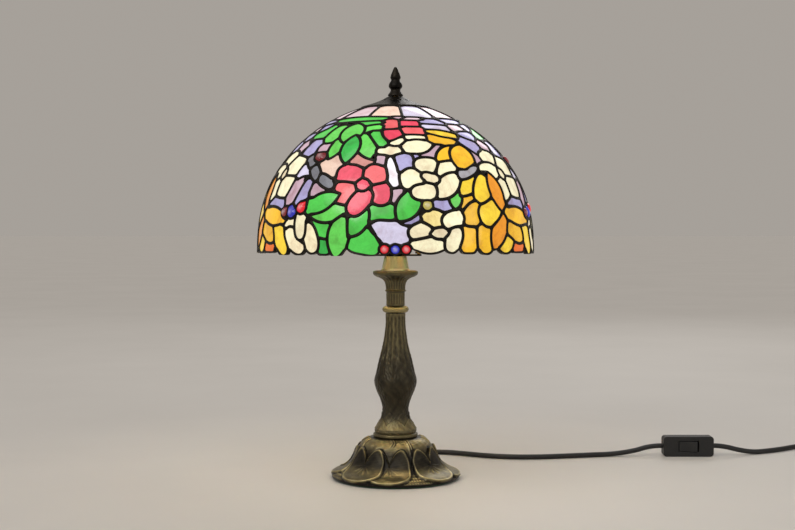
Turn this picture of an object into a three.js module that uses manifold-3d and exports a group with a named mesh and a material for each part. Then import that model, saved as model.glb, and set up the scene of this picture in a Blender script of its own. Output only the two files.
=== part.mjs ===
// Table lamp with a leaded-glass dome shade, a cast bronze column and foot, and a corded in-line switch.
// Millimetres, +Z up. Origin: centre of the foot's underside, where the lamp stands.
import * as THREE from "three";
import { mergeVertices } from "three/addons/utils/BufferGeometryUtils.js";
import Module from "manifold-3d";

const wasm = await Module();
wasm.setup();

// ---- driving dimensions --------------------------------------------------------------------------
const GAP = 0.3; // between pieces that touch
const BORE = 5.3; // hole that the threaded tube passes through
const SEGMENTS = 20; // sides of a turned piece
const CAST_WALL = 3.5;

const FELT = { radius: 69, height: 2 };
const FOOT = { radius: 71, bottom: FELT.height + GAP, top: 46 };
const TUBE = { radius: 4.9, bore: 3.7, bottom: 30, top: 256 };
const FLEX = { radius: 2.4, top: 259 };

const COLLAR = { radius: 24.7, bottom: FOOT.top + GAP, top: 50.8 };
const COLUMN = { bottom: COLLAR.top + GAP, top: 183.7 };
const BEAD = { radius: 14.8, bottom: COLUMN.top + GAP, top: 192 };
const NECK = { radius: 10.3, bottom: BEAD.top + GAP, top: 207.2 };
const CAPITAL = { radius: 24.6, bottom: NECK.top + GAP, top: 231 };
const CUP = { foot: 15.2, mouth: 12.1, bottom: CAPITAL.top + GAP, top: 247 };

const SADDLE = { reach: 29, width: 12, bottom: CUP.top + GAP, thick: 1.8 };
const HARP = { wire: 1.8, prong: 26, widest: 48, top: 397.9 };
const FERRULE = { bore: 2.7, radius: 4.2, length: 12 };
const STUD = { plate: 8, radius: 3, bottom: HARP.top + HARP.wire + GAP, top: 435 };

const HOLDER = { radius: 19.5, bottom: SADDLE.bottom + SADDLE.thick + GAP, joint: 266, top: 300 };
const SCREW = { radius: 14.2, wall: 0.7, bottom: 270, top: 297 };
const BULB = { cap: 13, radius: 30, capBottom: 274.3, neck: 300, widest: 347, top: 377, wall: 1.2 };

const DOME = { radius: 152, rim: 252, rise: 165, power: 2.35, root: 0.6, glass: 3 };
const DOME_STEP = 6; // degrees between the ribs of the faceted dome
const SKIRT_TOP = 305;
const CROWN_BOTTOM = 391.8;
const CROWN_TOP = 410.2;
const RIM_BOTTOM = 250.5;
const REPEATS = 3; // the pattern of panes comes round three times
const WHEEL = { radius: 40, bottom: 403.5, thick: 2, hole: 6, holeRing: 25, holes: 6 };
const CAP = { radius: 38.6, bottom: 410.6, top: 423.6, wall: 1.2, slots: 12, slotRing: 17 };
const FINIAL = { bottom: CAP.top + 0.4, top: 456.5, bore: 3.4, boreTop: 437 };

const CORD = { radius: 3, sides: 8 };
const CORD_EXIT = 8; // height of the cord's hole in the foot
const RELIEF = { flange: 44, wall: 72, tip: 98, bore: 4.6 };
const SWITCH = { length: 61, height: 24.5, depth: 16, wall: 1.6, x: 356, y: 140 };
const ROCKER = { pivot: -3, tilt: THREE.MathUtils.degToRad(7), halfLength: 11, halfHeight: 6.1 };
const COIL = { x: 580, y: 185, middle: 33, width: 18, height: 12, lift: 0.1 };
const PLUG = { length: 36, width: 25, thick: 13, pin: 2, pinLength: 19, pinSpacing: 18.6, relief: 25 };

// The cord's route along the table, from the foot to the switch and from the switch to the coil.
const SWITCH_Z = SWITCH.height / 2 + 0.1;
const TO_SWITCH = [
  [0, RELIEF.tip + GAP, CORD_EXIT],
  [0, RELIEF.tip + 5, CORD_EXIT],
  [2.5, 112, 6.7],
  [10, 127, 4],
  [25, 141.5, 3.1],
  [43, 149, 3.1],
  [62, 148, 3.1],
  [84, 138, 3.1],
  [110, 124, 3.1],
  [138, 116, 3.1],
  [168, 115, 3.1],
  [202, 121, 3.1],
  [236, 129, 3.1],
  [266, 135, 3.6],
  [291, 138.6, 6.8],
  [307, 139.7, 10.8],
  [SWITCH.x - SWITCH.length / 2 - 5, SWITCH.y, SWITCH_Z],
  [SWITCH.x - SWITCH.length / 2 - GAP, SWITCH.y, SWITCH_Z],
];
const COIL_OUTSIDE = COIL.middle + COIL.width / 2 + CORD.radius + 0.5;
const TO_COIL = [
  [SWITCH.x + SWITCH.length / 2 + GAP, SWITCH.y, SWITCH_Z],
  [SWITCH.x + SWITCH.length / 2 + 5, SWITCH.y, SWITCH_Z],
  [403, 141, 10.8],
  [420, 144, 6.6],
  [438, 149, 3.5],
  [459, 158.5, 3.1],
  [480, 172, 3.1],
  [500, 188, 3.1],
  [519, 204, 3.1],
  [538, 219, 3.1],
  [558, 228.5, 3.1],
  [COIL.x, COIL.y + COIL_OUTSIDE, 3.1],
];

// ---- materials -----------------------------------------------------------------------------------
const finish = (color, roughness, metalness = 0) =>
  new THREE.MeshStandardMaterial({ color, roughness, metalness });

const BRONZE = finish(0x4a4032, 0.5, 0.9);
const DARK_METAL = finish(0x2b241d, 0.45, 0.8);
const BRASS = finish(0xb08d4a, 0.35, 1);
const STEEL = finish(0x9c9c98, 0.35, 1);
const FELT_GREEN = finish(0x1e3a2a, 1);
const BAKELITE = finish(0x141312, 0.35);
const PORCELAIN = finish(0xe9e6df, 0.3);
const FROSTED = finish(0xfff2d8, 0.4);
const BLACK_PLASTIC = finish(0x111111, 0.4);
const BLACK_RUBBER = finish(0x191715, 0.6);
const GLASS = {
  green: finish(0x3fcf4a, 0.25),
  pink: finish(0xef5f7c, 0.25),
  ivory: finish(0xf6efba, 0.25),
  amber: finish(0xf2a629, 0.25),
  lilac: finish(0xaaa8cc, 0.25),
};

// ---- shape helpers -------------------------------------------------------------------------------

// Only positions, shared vertices merged, no collapsed triangles, faces pointing out.
function closed(source) {
  const bare = new THREE.BufferGeometry();
  bare.setAttribute("position", source.getAttribute("position"));
  if (source.index) bare.setIndex(source.index);
  const merged = mergeVertices(bare, 1e-4);
  const position = merged.attributes.position;
  const corners = [];
  for (let i = 0; i < merged.index.count; i += 3) {
    const [a, b, c] = [0, 1, 2].map((k) => merged.index.getX(i + k));
    if (a !== b && b !== c && c !== a) corners.push([a, b, c]);
  }
  const at = (i) => new THREE.Vector3().fromBufferAttribute(position, i);
  const volume = corners.reduce((sum, [a, b, c]) => sum + at(a).dot(at(b).cross(at(c))), 0);
  merged.setIndex(corners.flatMap(([a, b, c]) => (volume > 0 ? [a, b, c] : [a, c, b])));
  merged.computeVertexNormals();
  return merged;
}

// A turned piece: the profile's [radius, height] points go round +Z.
function turned(profile, segments = SEGMENTS) {
  const points = profile.map(([radius, height]) => new THREE.Vector2(radius, height));
  return closed(new THREE.LatheGeometry(points, segments).rotateX(Math.PI / 2));
}

// A turned piece with a hole through it: the outer profile goes up, then down the bore's wall.
function turnedRing(outer, bore, segments = SEGMENTS) {
  const bottom = outer[0][1];
  const top = outer.at(-1)[1];
  return turned([[bore, bottom], ...outer, [bore, top], [bore, bottom]], segments);
}

const disc = (radius, bottom, top, segments = SEGMENTS) =>
  turned([[0, bottom], [radius, bottom], [radius, top], [0, top]], segments);

const ring = (bore, radius, bottom, top, segments = SEGMENTS) =>
  turnedRing([[radius, bottom], [radius, top]], bore, segments);

// A round wire along a smooth path.
function tube(points, radius, sides, steps) {
  const path = new THREE.CatmullRomCurve3(
    points.map((p) => new THREE.Vector3(...p)),
    false,
    "centripetal",
  );
  const section = new THREE.Shape(
    Array.from({ length: sides }, (_, k) => {
      const turn = (2 * Math.PI * k) / sides;
      return new THREE.Vector2(radius * Math.cos(turn), radius * Math.sin(turn));
    }),
  );
  return closed(new THREE.ExtrudeGeometry(section, { steps, bevelEnabled: false, extrudePath: path }));
}

// A rounded rectangle in X and Z, carried along Y from one depth to the other.
function plate(length, height, corner, from, to) {
  const [x, z] = [length / 2 - corner, height / 2 - corner];
  const shape = new THREE.Shape();
  shape.absarc(x, z, corner, 0, Math.PI / 2);
  shape.absarc(-x, z, corner, Math.PI / 2, Math.PI);
  shape.absarc(-x, -z, corner, Math.PI, 1.5 * Math.PI);
  shape.absarc(x, -z, corner, 1.5 * Math.PI, 2 * Math.PI);
  const options = { depth: to - from, bevelEnabled: false, curveSegments: 4 };
  const upright = new THREE.ExtrudeGeometry(shape, options).rotateX(Math.PI / 2);
  return closed(upright.translate(0, to, 0));
}

const box = (x, y, z) => closed(new THREE.BoxGeometry(x, y, z));
const alongY = (geometry) => geometry.rotateX(-Math.PI / 2);

function solid(geometry) {
  const merged = closed(geometry);
  return new wasm.Manifold(
    new wasm.Mesh({
      numProp: 3,
      vertProperties: new Float32Array(merged.attributes.position.array),
      triVerts: new Uint32Array(merged.index.array),
    }),
  );
}

function fromSolid(body) {
  const mesh = body.getMesh();
  const geometry = new THREE.BufferGeometry();
  geometry.setAttribute("position", new THREE.BufferAttribute(mesh.vertProperties, 3));
  geometry.setIndex(new THREE.BufferAttribute(mesh.triVerts, 1));
  return closed(geometry);
}

const cut = (geometry, ...tools) =>
  fromSolid(tools.reduce((body, tool) => body.subtract(solid(tool)), solid(geometry)));
const join = (geometry, ...others) =>
  fromSolid(others.reduce((body, other) => body.add(solid(other)), solid(geometry)));

function piece(name, geometry, material) {
  const mesh = new THREE.Mesh(geometry, material);
  mesh.name = name;
  return mesh;
}

function group(...children) {
  const made = new THREE.Group();
  made.add(...children);
  return made;
}

// ---- foot ----------------------------------------------------------------------------------------

// A bell-shaped casting, hollow underneath, with the cord's hole at its back.
function footCasting() {
  const { radius, bottom, top } = FOOT;
  const bell = turned(
    [
      [BORE, top],
      [BORE, top - CAST_WALL],
      [28, top - CAST_WALL],
      [36.4, 35],
      [41, 25],
      [46, 16.8],
      [54, 9.4],
      [66, 4.2],
      [67.5, bottom],
      [radius, bottom],
      [radius, 4.2],
      [68.5, 6.2],
      [59.4, 10],
      [52, 15.8],
      [46.5, 24],
      [41.2, 35],
      [37.3, 40.6],
      [32, 44.4],
      [26.5, top],
      [BORE, top],
    ],
    40,
  );
  const hole = alongY(disc(RELIEF.bore, 30, 80, 16)).translate(0, 0, CORD_EXIT);
  return cut(bell, hole);
}

// Fixings under the foot: a washer and a hexagonal nut on the threaded tube.
function footNut() {
  const hexagon = new THREE.Shape(
    Array.from({ length: 6 }, (_, k) => {
      const turn = (k * Math.PI) / 3;
      return new THREE.Vector2(9 * Math.cos(turn), 9 * Math.sin(turn));
    }),
  );
  hexagon.holes.push(new THREE.Path().absarc(0, 0, BORE, 0, 2 * Math.PI, true));
  const options = { depth: 5.5, bevelEnabled: false, curveSegments: 12 };
  return closed(new THREE.ExtrudeGeometry(hexagon, options).translate(0, 0, 34.5));
}

// A soft grommet whose flange sits inside the foot and whose tail tapers along the cord.
function cordRelief() {
  const { flange, wall, tip } = RELIEF;
  const profile = [
    [0, flange],
    [5.5, flange],
    [5.5, flange + 3.2],
    [4.1, flange + 3.2],
    [4.1, wall],
    [5.4, wall],
    [5.4, wall + 3],
    [4.8, wall + 5],
    [3.7, tip],
    [0, tip],
  ];
  return turned(profile, 16).rotateX(-Math.PI / 2).translate(0, 0, CORD_EXIT);
}

const foot = group(
  piece("felt_pad", disc(FELT.radius, 0, FELT.height, 40), FELT_GREEN),
  piece("foot_casting", footCasting(), BRONZE),
  piece("foot_washer", ring(BORE, 14, 40.4, FOOT.top - CAST_WALL - GAP), STEEL),
  piece("foot_nut", footNut(), STEEL),
  piece("cord_relief", cordRelief(), BLACK_RUBBER),
);

// ---- column --------------------------------------------------------------------------------------

// The baluster: swollen low down, tapering to the neck, cast hollow with a bored top and bottom.
function columnCasting() {
  const { bottom, top } = COLUMN;
  return turned([
    [BORE, bottom],
    [22.6, bottom],
    [23.3, 53.6],
    [19.9, 59],
    [15.9, 67],
    [14.5, 78],
    [17.3, 89],
    [21.2, 98],
    [23.6, 108],
    [21.7, 118],
    [18.7, 132],
    [15.2, 145],
    [12.6, 159],
    [11.2, 172],
    [11, top],
    [BORE, top],
    [BORE, 176],
    [8.4, 164],
    [15.2, 132],
    [20, 108],
    [11, 79],
    [11, 68],
    [BORE, 60],
    [BORE, bottom],
  ]);
}

const column = group(
  piece("threaded_tube", ring(TUBE.bore, TUBE.radius, TUBE.bottom, TUBE.top, 24), STEEL),
  piece(
    "foot_collar",
    turnedRing(
      [
        [COLLAR.radius - 1.5, COLLAR.bottom],
        [COLLAR.radius, 47.6],
        [COLLAR.radius, 49.4],
        [COLLAR.radius - 1.7, COLLAR.top],
      ],
      BORE,
    ),
    BRONZE,
  ),
  piece("column_casting", columnCasting(), BRONZE),
  piece(
    "bead_ring",
    turnedRing(
      [
        [BEAD.radius - 3.6, BEAD.bottom],
        [BEAD.radius - 0.8, 185.9],
        [BEAD.radius, 188],
        [BEAD.radius - 0.8, 190.1],
        [BEAD.radius - 3.6, BEAD.top],
      ],
      BORE,
    ),
    BRONZE,
  ),
  piece("neck_casting", ring(BORE, NECK.radius, NECK.bottom, NECK.top), BRONZE),
  piece(
    "capital_casting",
    turnedRing(
      [
        [10.6, CAPITAL.bottom],
        [11.5, 208.7],
        [10.6, 210],
        [10.9, 215],
        [12.1, 219.5],
        [15.8, 223.5],
        [20.8, 227],
        [CAPITAL.radius, 229],
        [CAPITAL.radius, 230.4],
        [22, CAPITAL.top],
      ],
      BORE,
    ),
    BRONZE,
  ),
  piece(
    "socket_cup",
    turned([
      [BORE, CUP.top],
      [BORE, CUP.top - 2.2],
      [10.2, CUP.top - 3],
      [12.6, CUP.bottom],
      [CUP.foot, CUP.bottom],
      [CUP.foot - 0.6, 236],
      [CUP.mouth + 0.6, 243],
      [CUP.mouth, CUP.top],
      [BORE, CUP.top],
    ]),
    BRONZE,
  ),
);

// The flex inside the lamp, from the foot's hole up the tube to the lampholder.
const innerFlex = piece(
  "inner_flex",
  tube(
    [
      [0, RELIEF.flange - GAP, CORD_EXIT],
      [0, 30, 7],
      [0, 16, 9],
      [0, 5, 16],
      [0, 0.5, 26],
      [0, 0, 40],
      [0, 0, 90],
      [0, 0, 150],
      [0, 0, 210],
      [0, 0, FLEX.top],
    ],
    FLEX.radius,
    8,
    22,
  ),
  BLACK_RUBBER,
);

// ---- harp: the wire loop that carries the shade --------------------------------------------------

function harpSaddle() {
  const { reach, width, bottom, thick } = SADDLE;
  const bar = box(2 * reach, width, thick).translate(0, 0, bottom + thick / 2);
  const prongs = [-1, 1].map((side) =>
    disc(2, bottom + thick / 2, HOLDER.bottom + 2.6, 12).translate(side * HARP.prong, 0, 0),
  );
  return cut(join(bar, ...prongs), disc(BORE, bottom - 1, bottom + thick + 1, 24));
}

function harpWire() {
  const rightHalf = [
    [HARP.prong, 252.5],
    [HARP.prong, 264],
    [HARP.prong + 0.2, 277],
    [HARP.prong + 7, 292],
    [HARP.widest - 3, 312],
    [HARP.widest, 333],
    [HARP.widest - 4, 358],
    [34, 380],
    [17, 394.5],
  ];
  const across = ([x, z]) => [x, 0, z];
  const mirrored = rightHalf.toReversed().map(([x, z]) => [-x, 0, z]);
  return tube([...rightHalf.map(across), [0, 0, HARP.top], ...mirrored], HARP.wire, 8, 36);
}

function harpStud() {
  const { plate: plateRadius, radius, bottom, top } = STUD;
  return turned(
    [[0, bottom], [plateRadius, bottom], [plateRadius, 403.2], [radius, 403.2], [radius, top], [0, top]],
    24,
  );
}

const ferrule = (name, side) =>
  piece(
    name,
    ring(FERRULE.bore, FERRULE.radius, 250, 250 + FERRULE.length, 20).translate(side * HARP.prong, 0, 0),
    BRASS,
  );

const harp = group(
  piece("harp_saddle", harpSaddle(), BRASS),
  piece("harp_wire", harpWire(), BRASS),
  ferrule("harp_ferrule_left", -1),
  ferrule("harp_ferrule_right", 1),
  piece("harp_stud", harpStud(), BRASS),
);

// ---- lampholder and bulb -------------------------------------------------------------------------

function holderBase() {
  const { radius, bottom, joint } = HOLDER;
  return turned([
    [BORE, bottom],
    [13, bottom],
    [17, 252],
    [radius, 257],
    [radius, joint],
    [radius - 2.2, joint],
    [radius - 2.2, 258],
    [15, 254],
    [BORE, 252.6],
    [BORE, bottom],
  ]);
}

function screwShell() {
  const { radius, wall, bottom, top } = SCREW;
  return ring(radius - wall, radius, bottom, top, 28);
}

const lampholder = group(
  piece("holder_base", holderBase(), BAKELITE),
  piece("holder_shell", ring(17.3, HOLDER.radius, HOLDER.joint + GAP, HOLDER.top), BAKELITE),
  piece("holder_insulator", disc(16.5, 262.5, SCREW.bottom - GAP, 24), PORCELAIN),
  piece("holder_screw_shell", screwShell(), BRASS),
  piece("holder_contact", disc(4, SCREW.bottom, 271.9, 16), BRASS),
);

// The envelope is thin and open at its neck.
function bulbEnvelope() {
  const { cap, radius, neck, widest, top, wall } = BULB;
  const outer = [
    [cap - 0.6, neck + GAP],
    [cap + 0.4, 308],
    [19, 319],
    [26.6, 331],
    [radius, widest],
    [27, 361],
    [17, 373],
    [0, top],
  ];
  const inner = outer.toReversed().map(([r, z]) => {
    const shrunk = Math.max(r - wall, 0);
    return [shrunk, z > widest ? z - wall : z];
  });
  inner[inner.length - 1][1] = neck + GAP;
  return turned([...outer, ...inner, outer[0]], 20);
}

const bulb = group(
  piece("bulb_envelope", bulbEnvelope(), FROSTED),
  piece("bulb_cap", disc(BULB.cap, BULB.capBottom, BULB.neck, 28), STEEL),
  piece("bulb_contact", disc(4.5, 272.2, BULB.capBottom - GAP, 16), BRASS),
);

// ---- shade ---------------------------------------------------------------------------------------

// Radius of the dome's outside at a height: full at the rim, falling faster and faster towards the top.
function domeRadius(height) {
  const share = Math.max(0, (height - DOME.rim) / DOME.rise);
  return DOME.radius * (1 - share ** DOME.power) ** DOME.root;
}

// The outer and inner face's [radius, height] at a height, one glass thickness apart along the normal.
function domeWall(height) {
  const step = 0.05;
  const slope = (domeRadius(height + step) - domeRadius(height - step)) / (2 * step);
  const length = Math.hypot(1, slope);
  const outer = [domeRadius(height), height];
  const inner = [outer[0] - DOME.glass / length, height + (DOME.glass * slope) / length];
  return { outer, inner };
}

// A closed patch of the dome between two azimuths, in degrees, and a list of heights.
function domePatch(from, to, heights) {
  const slit = (GAP / 2 + 0.1) / DOME.radius;
  const columns = Math.round((to - from) / DOME_STEP);
  const azimuths = Array.from({ length: columns + 1 }, (_, i) =>
    THREE.MathUtils.degToRad(from + i * DOME_STEP),
  );
  azimuths[0] += slit * 1.6;
  azimuths[columns] -= slit * 1.6;
  const walls = heights.map(domeWall);
  const rows = heights.length - 1;
  const vertices = [];
  for (const side of ["outer", "inner"])
    for (const wall of walls)
      for (const azimuth of azimuths) {
        const [radius, height] = wall[side];
        vertices.push(radius * Math.sin(azimuth), -radius * Math.cos(azimuth), height);
      }
  const at = (side, row, col) => (side * (rows + 1) + row) * (columns + 1) + col;
  const faces = [];
  const quad = (a, b, c, d) => faces.push(a, b, c, a, c, d);
  for (let row = 0; row < rows; row++)
    for (let col = 0; col < columns; col++) {
      quad(at(0, row, col), at(0, row, col + 1), at(0, row + 1, col + 1), at(0, row + 1, col));
      quad(at(1, row, col), at(1, row + 1, col), at(1, row + 1, col + 1), at(1, row, col + 1));
    }
  for (let col = 0; col < columns; col++) {
    quad(at(1, 0, col), at(1, 0, col + 1), at(0, 0, col + 1), at(0, 0, col));
    quad(at(0, rows, col), at(0, rows, col + 1), at(1, rows, col + 1), at(1, rows, col));
  }
  for (let row = 0; row < rows; row++) {
    quad(at(1, row, 0), at(0, row, 0), at(0, row + 1, 0), at(1, row + 1, 0));
    quad(at(0, row, columns), at(1, row, columns), at(1, row + 1, columns), at(0, row + 1, columns));
  }
  const geometry = new THREE.BufferGeometry();
  geometry.setAttribute("position", new THREE.Float32BufferAttribute(vertices, 3));
  geometry.setIndex(faces);
  return closed(geometry);
}

// The fields of glass in one repeat: name, azimuth from and to, colour, and the band it lies in.
const SHADE_FIELDS = [
  ["lilac_field", -72, -30, "lilac", "upper"],
  ["pink_flower", -30, 0, "pink", "upper"],
  ["ivory_flower", 0, 48, "ivory", "upper"],
  ["green_leaves", -36, 6, "green", "lower"],
  ["ivory_buds", 6, 36, "ivory", "lower"],
  ["amber_leaves", 36, 84, "amber", "lower"],
];
const BANDS = {
  lower: [RIM_BOTTOM, 270, 288, SKIRT_TOP - 0.2],
  upper: [SKIRT_TOP + 0.2, 328, 349, 367, 381, CROWN_BOTTOM - 0.1],
};

function shadeFields() {
  const fields = [];
  for (let repeat = 0; repeat < REPEATS; repeat++) {
    const turn = (360 / REPEATS) * repeat;
    for (const [name, from, to, colour, band] of SHADE_FIELDS) {
      const patch = domePatch(from + turn, to + turn, BANDS[band]);
      fields.push(piece(`${name}_${repeat + 1}`, patch, GLASS[colour]));
    }
  }
  return fields;
}

function crownPanes() {
  const walls = [CROWN_BOTTOM + 0.1, 402, CROWN_TOP].map(domeWall);
  const outer = walls.map((wall) => wall.outer);
  const inner = walls.map((wall) => wall.inner).reverse();
  return turned([...outer, ...inner, outer[0]], 360 / DOME_STEP);
}

// The spoked wheel on the harp that the glass stands on.
function shadeWheel() {
  const { radius, bottom, thick, hole, holeRing, holes } = WHEEL;
  const plateDisc = ring(STUD.radius + 0.8, radius, bottom, bottom + thick, 30);
  const vents = Array.from({ length: holes }, (_, k) => {
    const turn = (2 * Math.PI * k) / holes;
    const vent = disc(hole, bottom - 1, bottom + thick + 1, 8);
    return vent.translate(holeRing * Math.cos(turn), holeRing * Math.sin(turn), 0);
  });
  return cut(plateDisc, ...vents);
}

// The spun cap over the glass, with a ring of vent slots.
function shadeCap() {
  const { radius, bottom, top, slots, slotRing } = CAP;
  const shell = turned(
    [
      [STUD.radius + 0.8, top],
      [STUD.radius + 0.8, top - 1.6],
      [10, top - 2],
      [18, 418.2],
      [30, 413.6],
      [radius - 1.6, bottom],
      [radius, bottom],
      [radius, 412],
      [30.4, 415.2],
      [18.4, 419.8],
      [10, 422.9],
      [STUD.radius + 0.8, top],
    ],
  );
  const vents = Array.from({ length: slots }, (_, k) => {
    const turn = (2 * Math.PI * (k + 0.5)) / slots;
    const vent = disc(1.7, bottom - 1, top + 1, 6);
    return vent.translate(slotRing * Math.cos(turn), slotRing * Math.sin(turn), 0);
  });
  return cut(shell, ...vents);
}

function finialKnob() {
  const { bottom, top, bore, boreTop } = FINIAL;
  return turned(
    [
      [0, boreTop],
      [bore, boreTop],
      [bore, bottom],
      [8.3, bottom],
      [8.3, 425.6],
      [5.9, 429],
      [5.5, 431.4],
      [7.6, 435.6],
      [4.8, 441.6],
      [5.8, 445.3],
      [2.6, 453.8],
      [0, top],
    ],
    20,
  );
}

const shade = group(
  piece("crown_panes", crownPanes(), GLASS.lilac),
  ...shadeFields(),
  piece("shade_wheel", shadeWheel(), DARK_METAL),
  piece("shade_cap", shadeCap(), DARK_METAL),
  piece("finial", finialKnob(), DARK_METAL),
);

// ---- in-line switch: its own frame has X along the cord and -Y out of the rocker's face ----------

const SCREW_X = 21;

function switchCover() {
  const { length, height, depth, wall } = SWITCH;
  const shell = plate(length, height, 4, -depth / 2, -GAP / 2);
  const hollow = plate(length - 2 * wall, height - 2 * wall, 3, -depth / 2 + wall, 1);
  const window = box(2 * ROCKER.halfLength + 2.4, 8, 2 * ROCKER.halfHeight + 0.8);
  const boss = alongY(disc(3.4, wall / 2 - depth / 2, -GAP, 16)).translate(SCREW_X, 0, 0);
  const bossHole = alongY(disc(1.8, wall + 0.8 - depth / 2, 1, 12)).translate(SCREW_X, 0, 0);
  return cut(join(cut(shell, hollow, window.translate(0, -depth / 2, 0)), boss), bossHole);
}

function switchBase() {
  const { length, height, depth, wall } = SWITCH;
  const shell = plate(length, height, 4, GAP / 2, depth / 2);
  const hollow = plate(length - 2 * wall, height - 2 * wall, 3, -1, depth / 2 - wall);
  const hole = alongY(disc(3.1, 1, depth / 2 + 1, 16)).translate(SCREW_X, 0, 0);
  return cut(shell, hollow, hole);
}

function switchScrew() {
  const { depth, wall } = SWITCH;
  const head = disc(2.7, depth / 2 - 2.6, depth / 2 - 0.4, 16);
  const shank = disc(1.4, wall + 1.6 - depth / 2, depth / 2 - 1, 12);
  return alongY(join(head, shank)).translate(SCREW_X, 0, 0);
}

// A dished rocker on an upright pivot.
function switchRocker() {
  const { halfLength, halfHeight } = ROCKER;
  const outline = new THREE.Shape([
    new THREE.Vector2(-halfLength + 1.5, 1),
    new THREE.Vector2(-halfLength, -6),
    new THREE.Vector2(-halfLength / 2, -5.2),
    new THREE.Vector2(0, -4.9),
    new THREE.Vector2(halfLength / 2, -5.2),
    new THREE.Vector2(halfLength, -6),
    new THREE.Vector2(halfLength - 1.5, 1),
  ]);
  const options = { depth: 2 * halfHeight, bevelEnabled: false };
  return closed(new THREE.ExtrudeGeometry(outline, options).translate(0, 0, -halfHeight));
}

const rocker = piece("switch_rocker", switchRocker(), BLACK_PLASTIC);
rocker.position.set(0, ROCKER.pivot, 0);
rocker.rotation.z = -ROCKER.tilt;
const lineSwitch = group(
  piece("switch_cover", switchCover(), BLACK_PLASTIC),
  piece("switch_base", switchBase(), BLACK_PLASTIC),
  piece("switch_screw", switchScrew(), STEEL),
  rocker,
);
lineSwitch.position.set(SWITCH.x, SWITCH.y, SWITCH_Z);

// ---- cord, coil and plug -------------------------------------------------------------------------

const cords = group(
  piece("cord_to_switch", tube(TO_SWITCH, CORD.radius, CORD.sides, 28), BLACK_RUBBER),
  piece("cord_to_coil", tube(TO_COIL, CORD.radius, CORD.sides, 16), BLACK_RUBBER),
);

// The stored turns as one ring, and the tie that straddles them.
function coilTie() {
  const { middle, width, height, lift } = COIL;
  const inside = width + 0.8;
  const top = lift + height + 0.4;
  const outer = box(inside + 2.4, 5, top + 1.2 - 0.2).translate(middle, 0, (top + 1.2 + 0.2) / 2);
  return cut(outer, box(inside, 7, top + 2).translate(middle, 0, top / 2 - 1));
}

const coil = piece(
  "cord_coil",
  ring(COIL.middle - COIL.width / 2, COIL.middle + COIL.width / 2, COIL.lift, COIL.lift + COIL.height, 32),
  BLACK_RUBBER,
);
const tie = piece("coil_tie", coilTie(), BLACK_PLASTIC);
tie.rotation.z = THREE.MathUtils.degToRad(-135);
const stored = group(coil, tie);
stored.position.set(COIL.x, COIL.y, 0);

// The plug's own frame has -Y along its pins; its tail meets the coil.
function plugBody() {
  const half = PLUG.width / 2;
  const outline = new THREE.Shape([
    new THREE.Vector2(-6, 0),
    new THREE.Vector2(6, 0),
    new THREE.Vector2(half - 1.5, -10),
    new THREE.Vector2(half, -18),
    new THREE.Vector2(half, -PLUG.length),
    new THREE.Vector2(-half, -PLUG.length),
    new THREE.Vector2(-half, -18),
    new THREE.Vector2(-half + 1.5, -10),
  ]);
  const options = { depth: PLUG.thick, bevelEnabled: false };
  return closed(new THREE.ExtrudeGeometry(outline, options).translate(0, 0, -PLUG.thick / 2));
}

function plugPin(side) {
  const from = PLUG.length + GAP;
  const pin = alongY(disc(PLUG.pin, -from - PLUG.pinLength, -from, 12));
  return pin.translate((side * PLUG.pinSpacing) / 2, 0, 0);
}

const plug = group(
  piece(
    "plug_relief",
    alongY(turned([[0, GAP], [5, GAP], [4.6, 8], [3.7, PLUG.relief], [0, PLUG.relief]], 16)),
    BLACK_RUBBER,
  ),
  piece("plug_body", plugBody(), BLACK_PLASTIC),
  piece("plug_pin_left", plugPin(-1), STEEL),
  piece("plug_pin_right", plugPin(1), STEEL),
);
const PLUG_Z = PLUG.thick / 2 + 0.1;
plug.position.set(COIL.x + COIL_OUTSIDE + 0.5, COIL.y - PLUG.relief - 4, PLUG_Z);

export default group(foot, column, innerFlex, harp, lampholder, bulb, shade, lineSwitch, cords, stored, plug);
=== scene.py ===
"""Table lamp: a lit dome of leaded glass on a cast bronze column, with its cord, switch and plug."""

import math

import bpy
import numpy as np
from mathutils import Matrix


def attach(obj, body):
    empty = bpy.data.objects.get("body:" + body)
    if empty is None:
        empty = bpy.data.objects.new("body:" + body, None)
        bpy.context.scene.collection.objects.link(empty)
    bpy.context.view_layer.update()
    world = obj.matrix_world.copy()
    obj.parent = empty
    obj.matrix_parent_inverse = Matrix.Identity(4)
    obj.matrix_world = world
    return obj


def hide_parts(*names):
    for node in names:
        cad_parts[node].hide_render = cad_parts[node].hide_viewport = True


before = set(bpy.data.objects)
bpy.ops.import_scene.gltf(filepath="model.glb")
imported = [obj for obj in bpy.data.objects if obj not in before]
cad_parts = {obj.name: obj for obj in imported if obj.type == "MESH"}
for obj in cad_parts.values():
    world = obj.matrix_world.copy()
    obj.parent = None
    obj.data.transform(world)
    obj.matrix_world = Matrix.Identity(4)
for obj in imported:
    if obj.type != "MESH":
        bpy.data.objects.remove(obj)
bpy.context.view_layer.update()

MM = 0.001
FULL_TURN = 2 * math.pi


# ---- camera and cords ---------------------------------------------------------------------------------

EYE = (0.0022, -1.4996, 0.283)  # metres
LOOK_DOWN = math.radians(1.75)
LENS = 61.13
SENSOR_WIDTH = 36

CORD_RADIUS = 3.0
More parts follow.
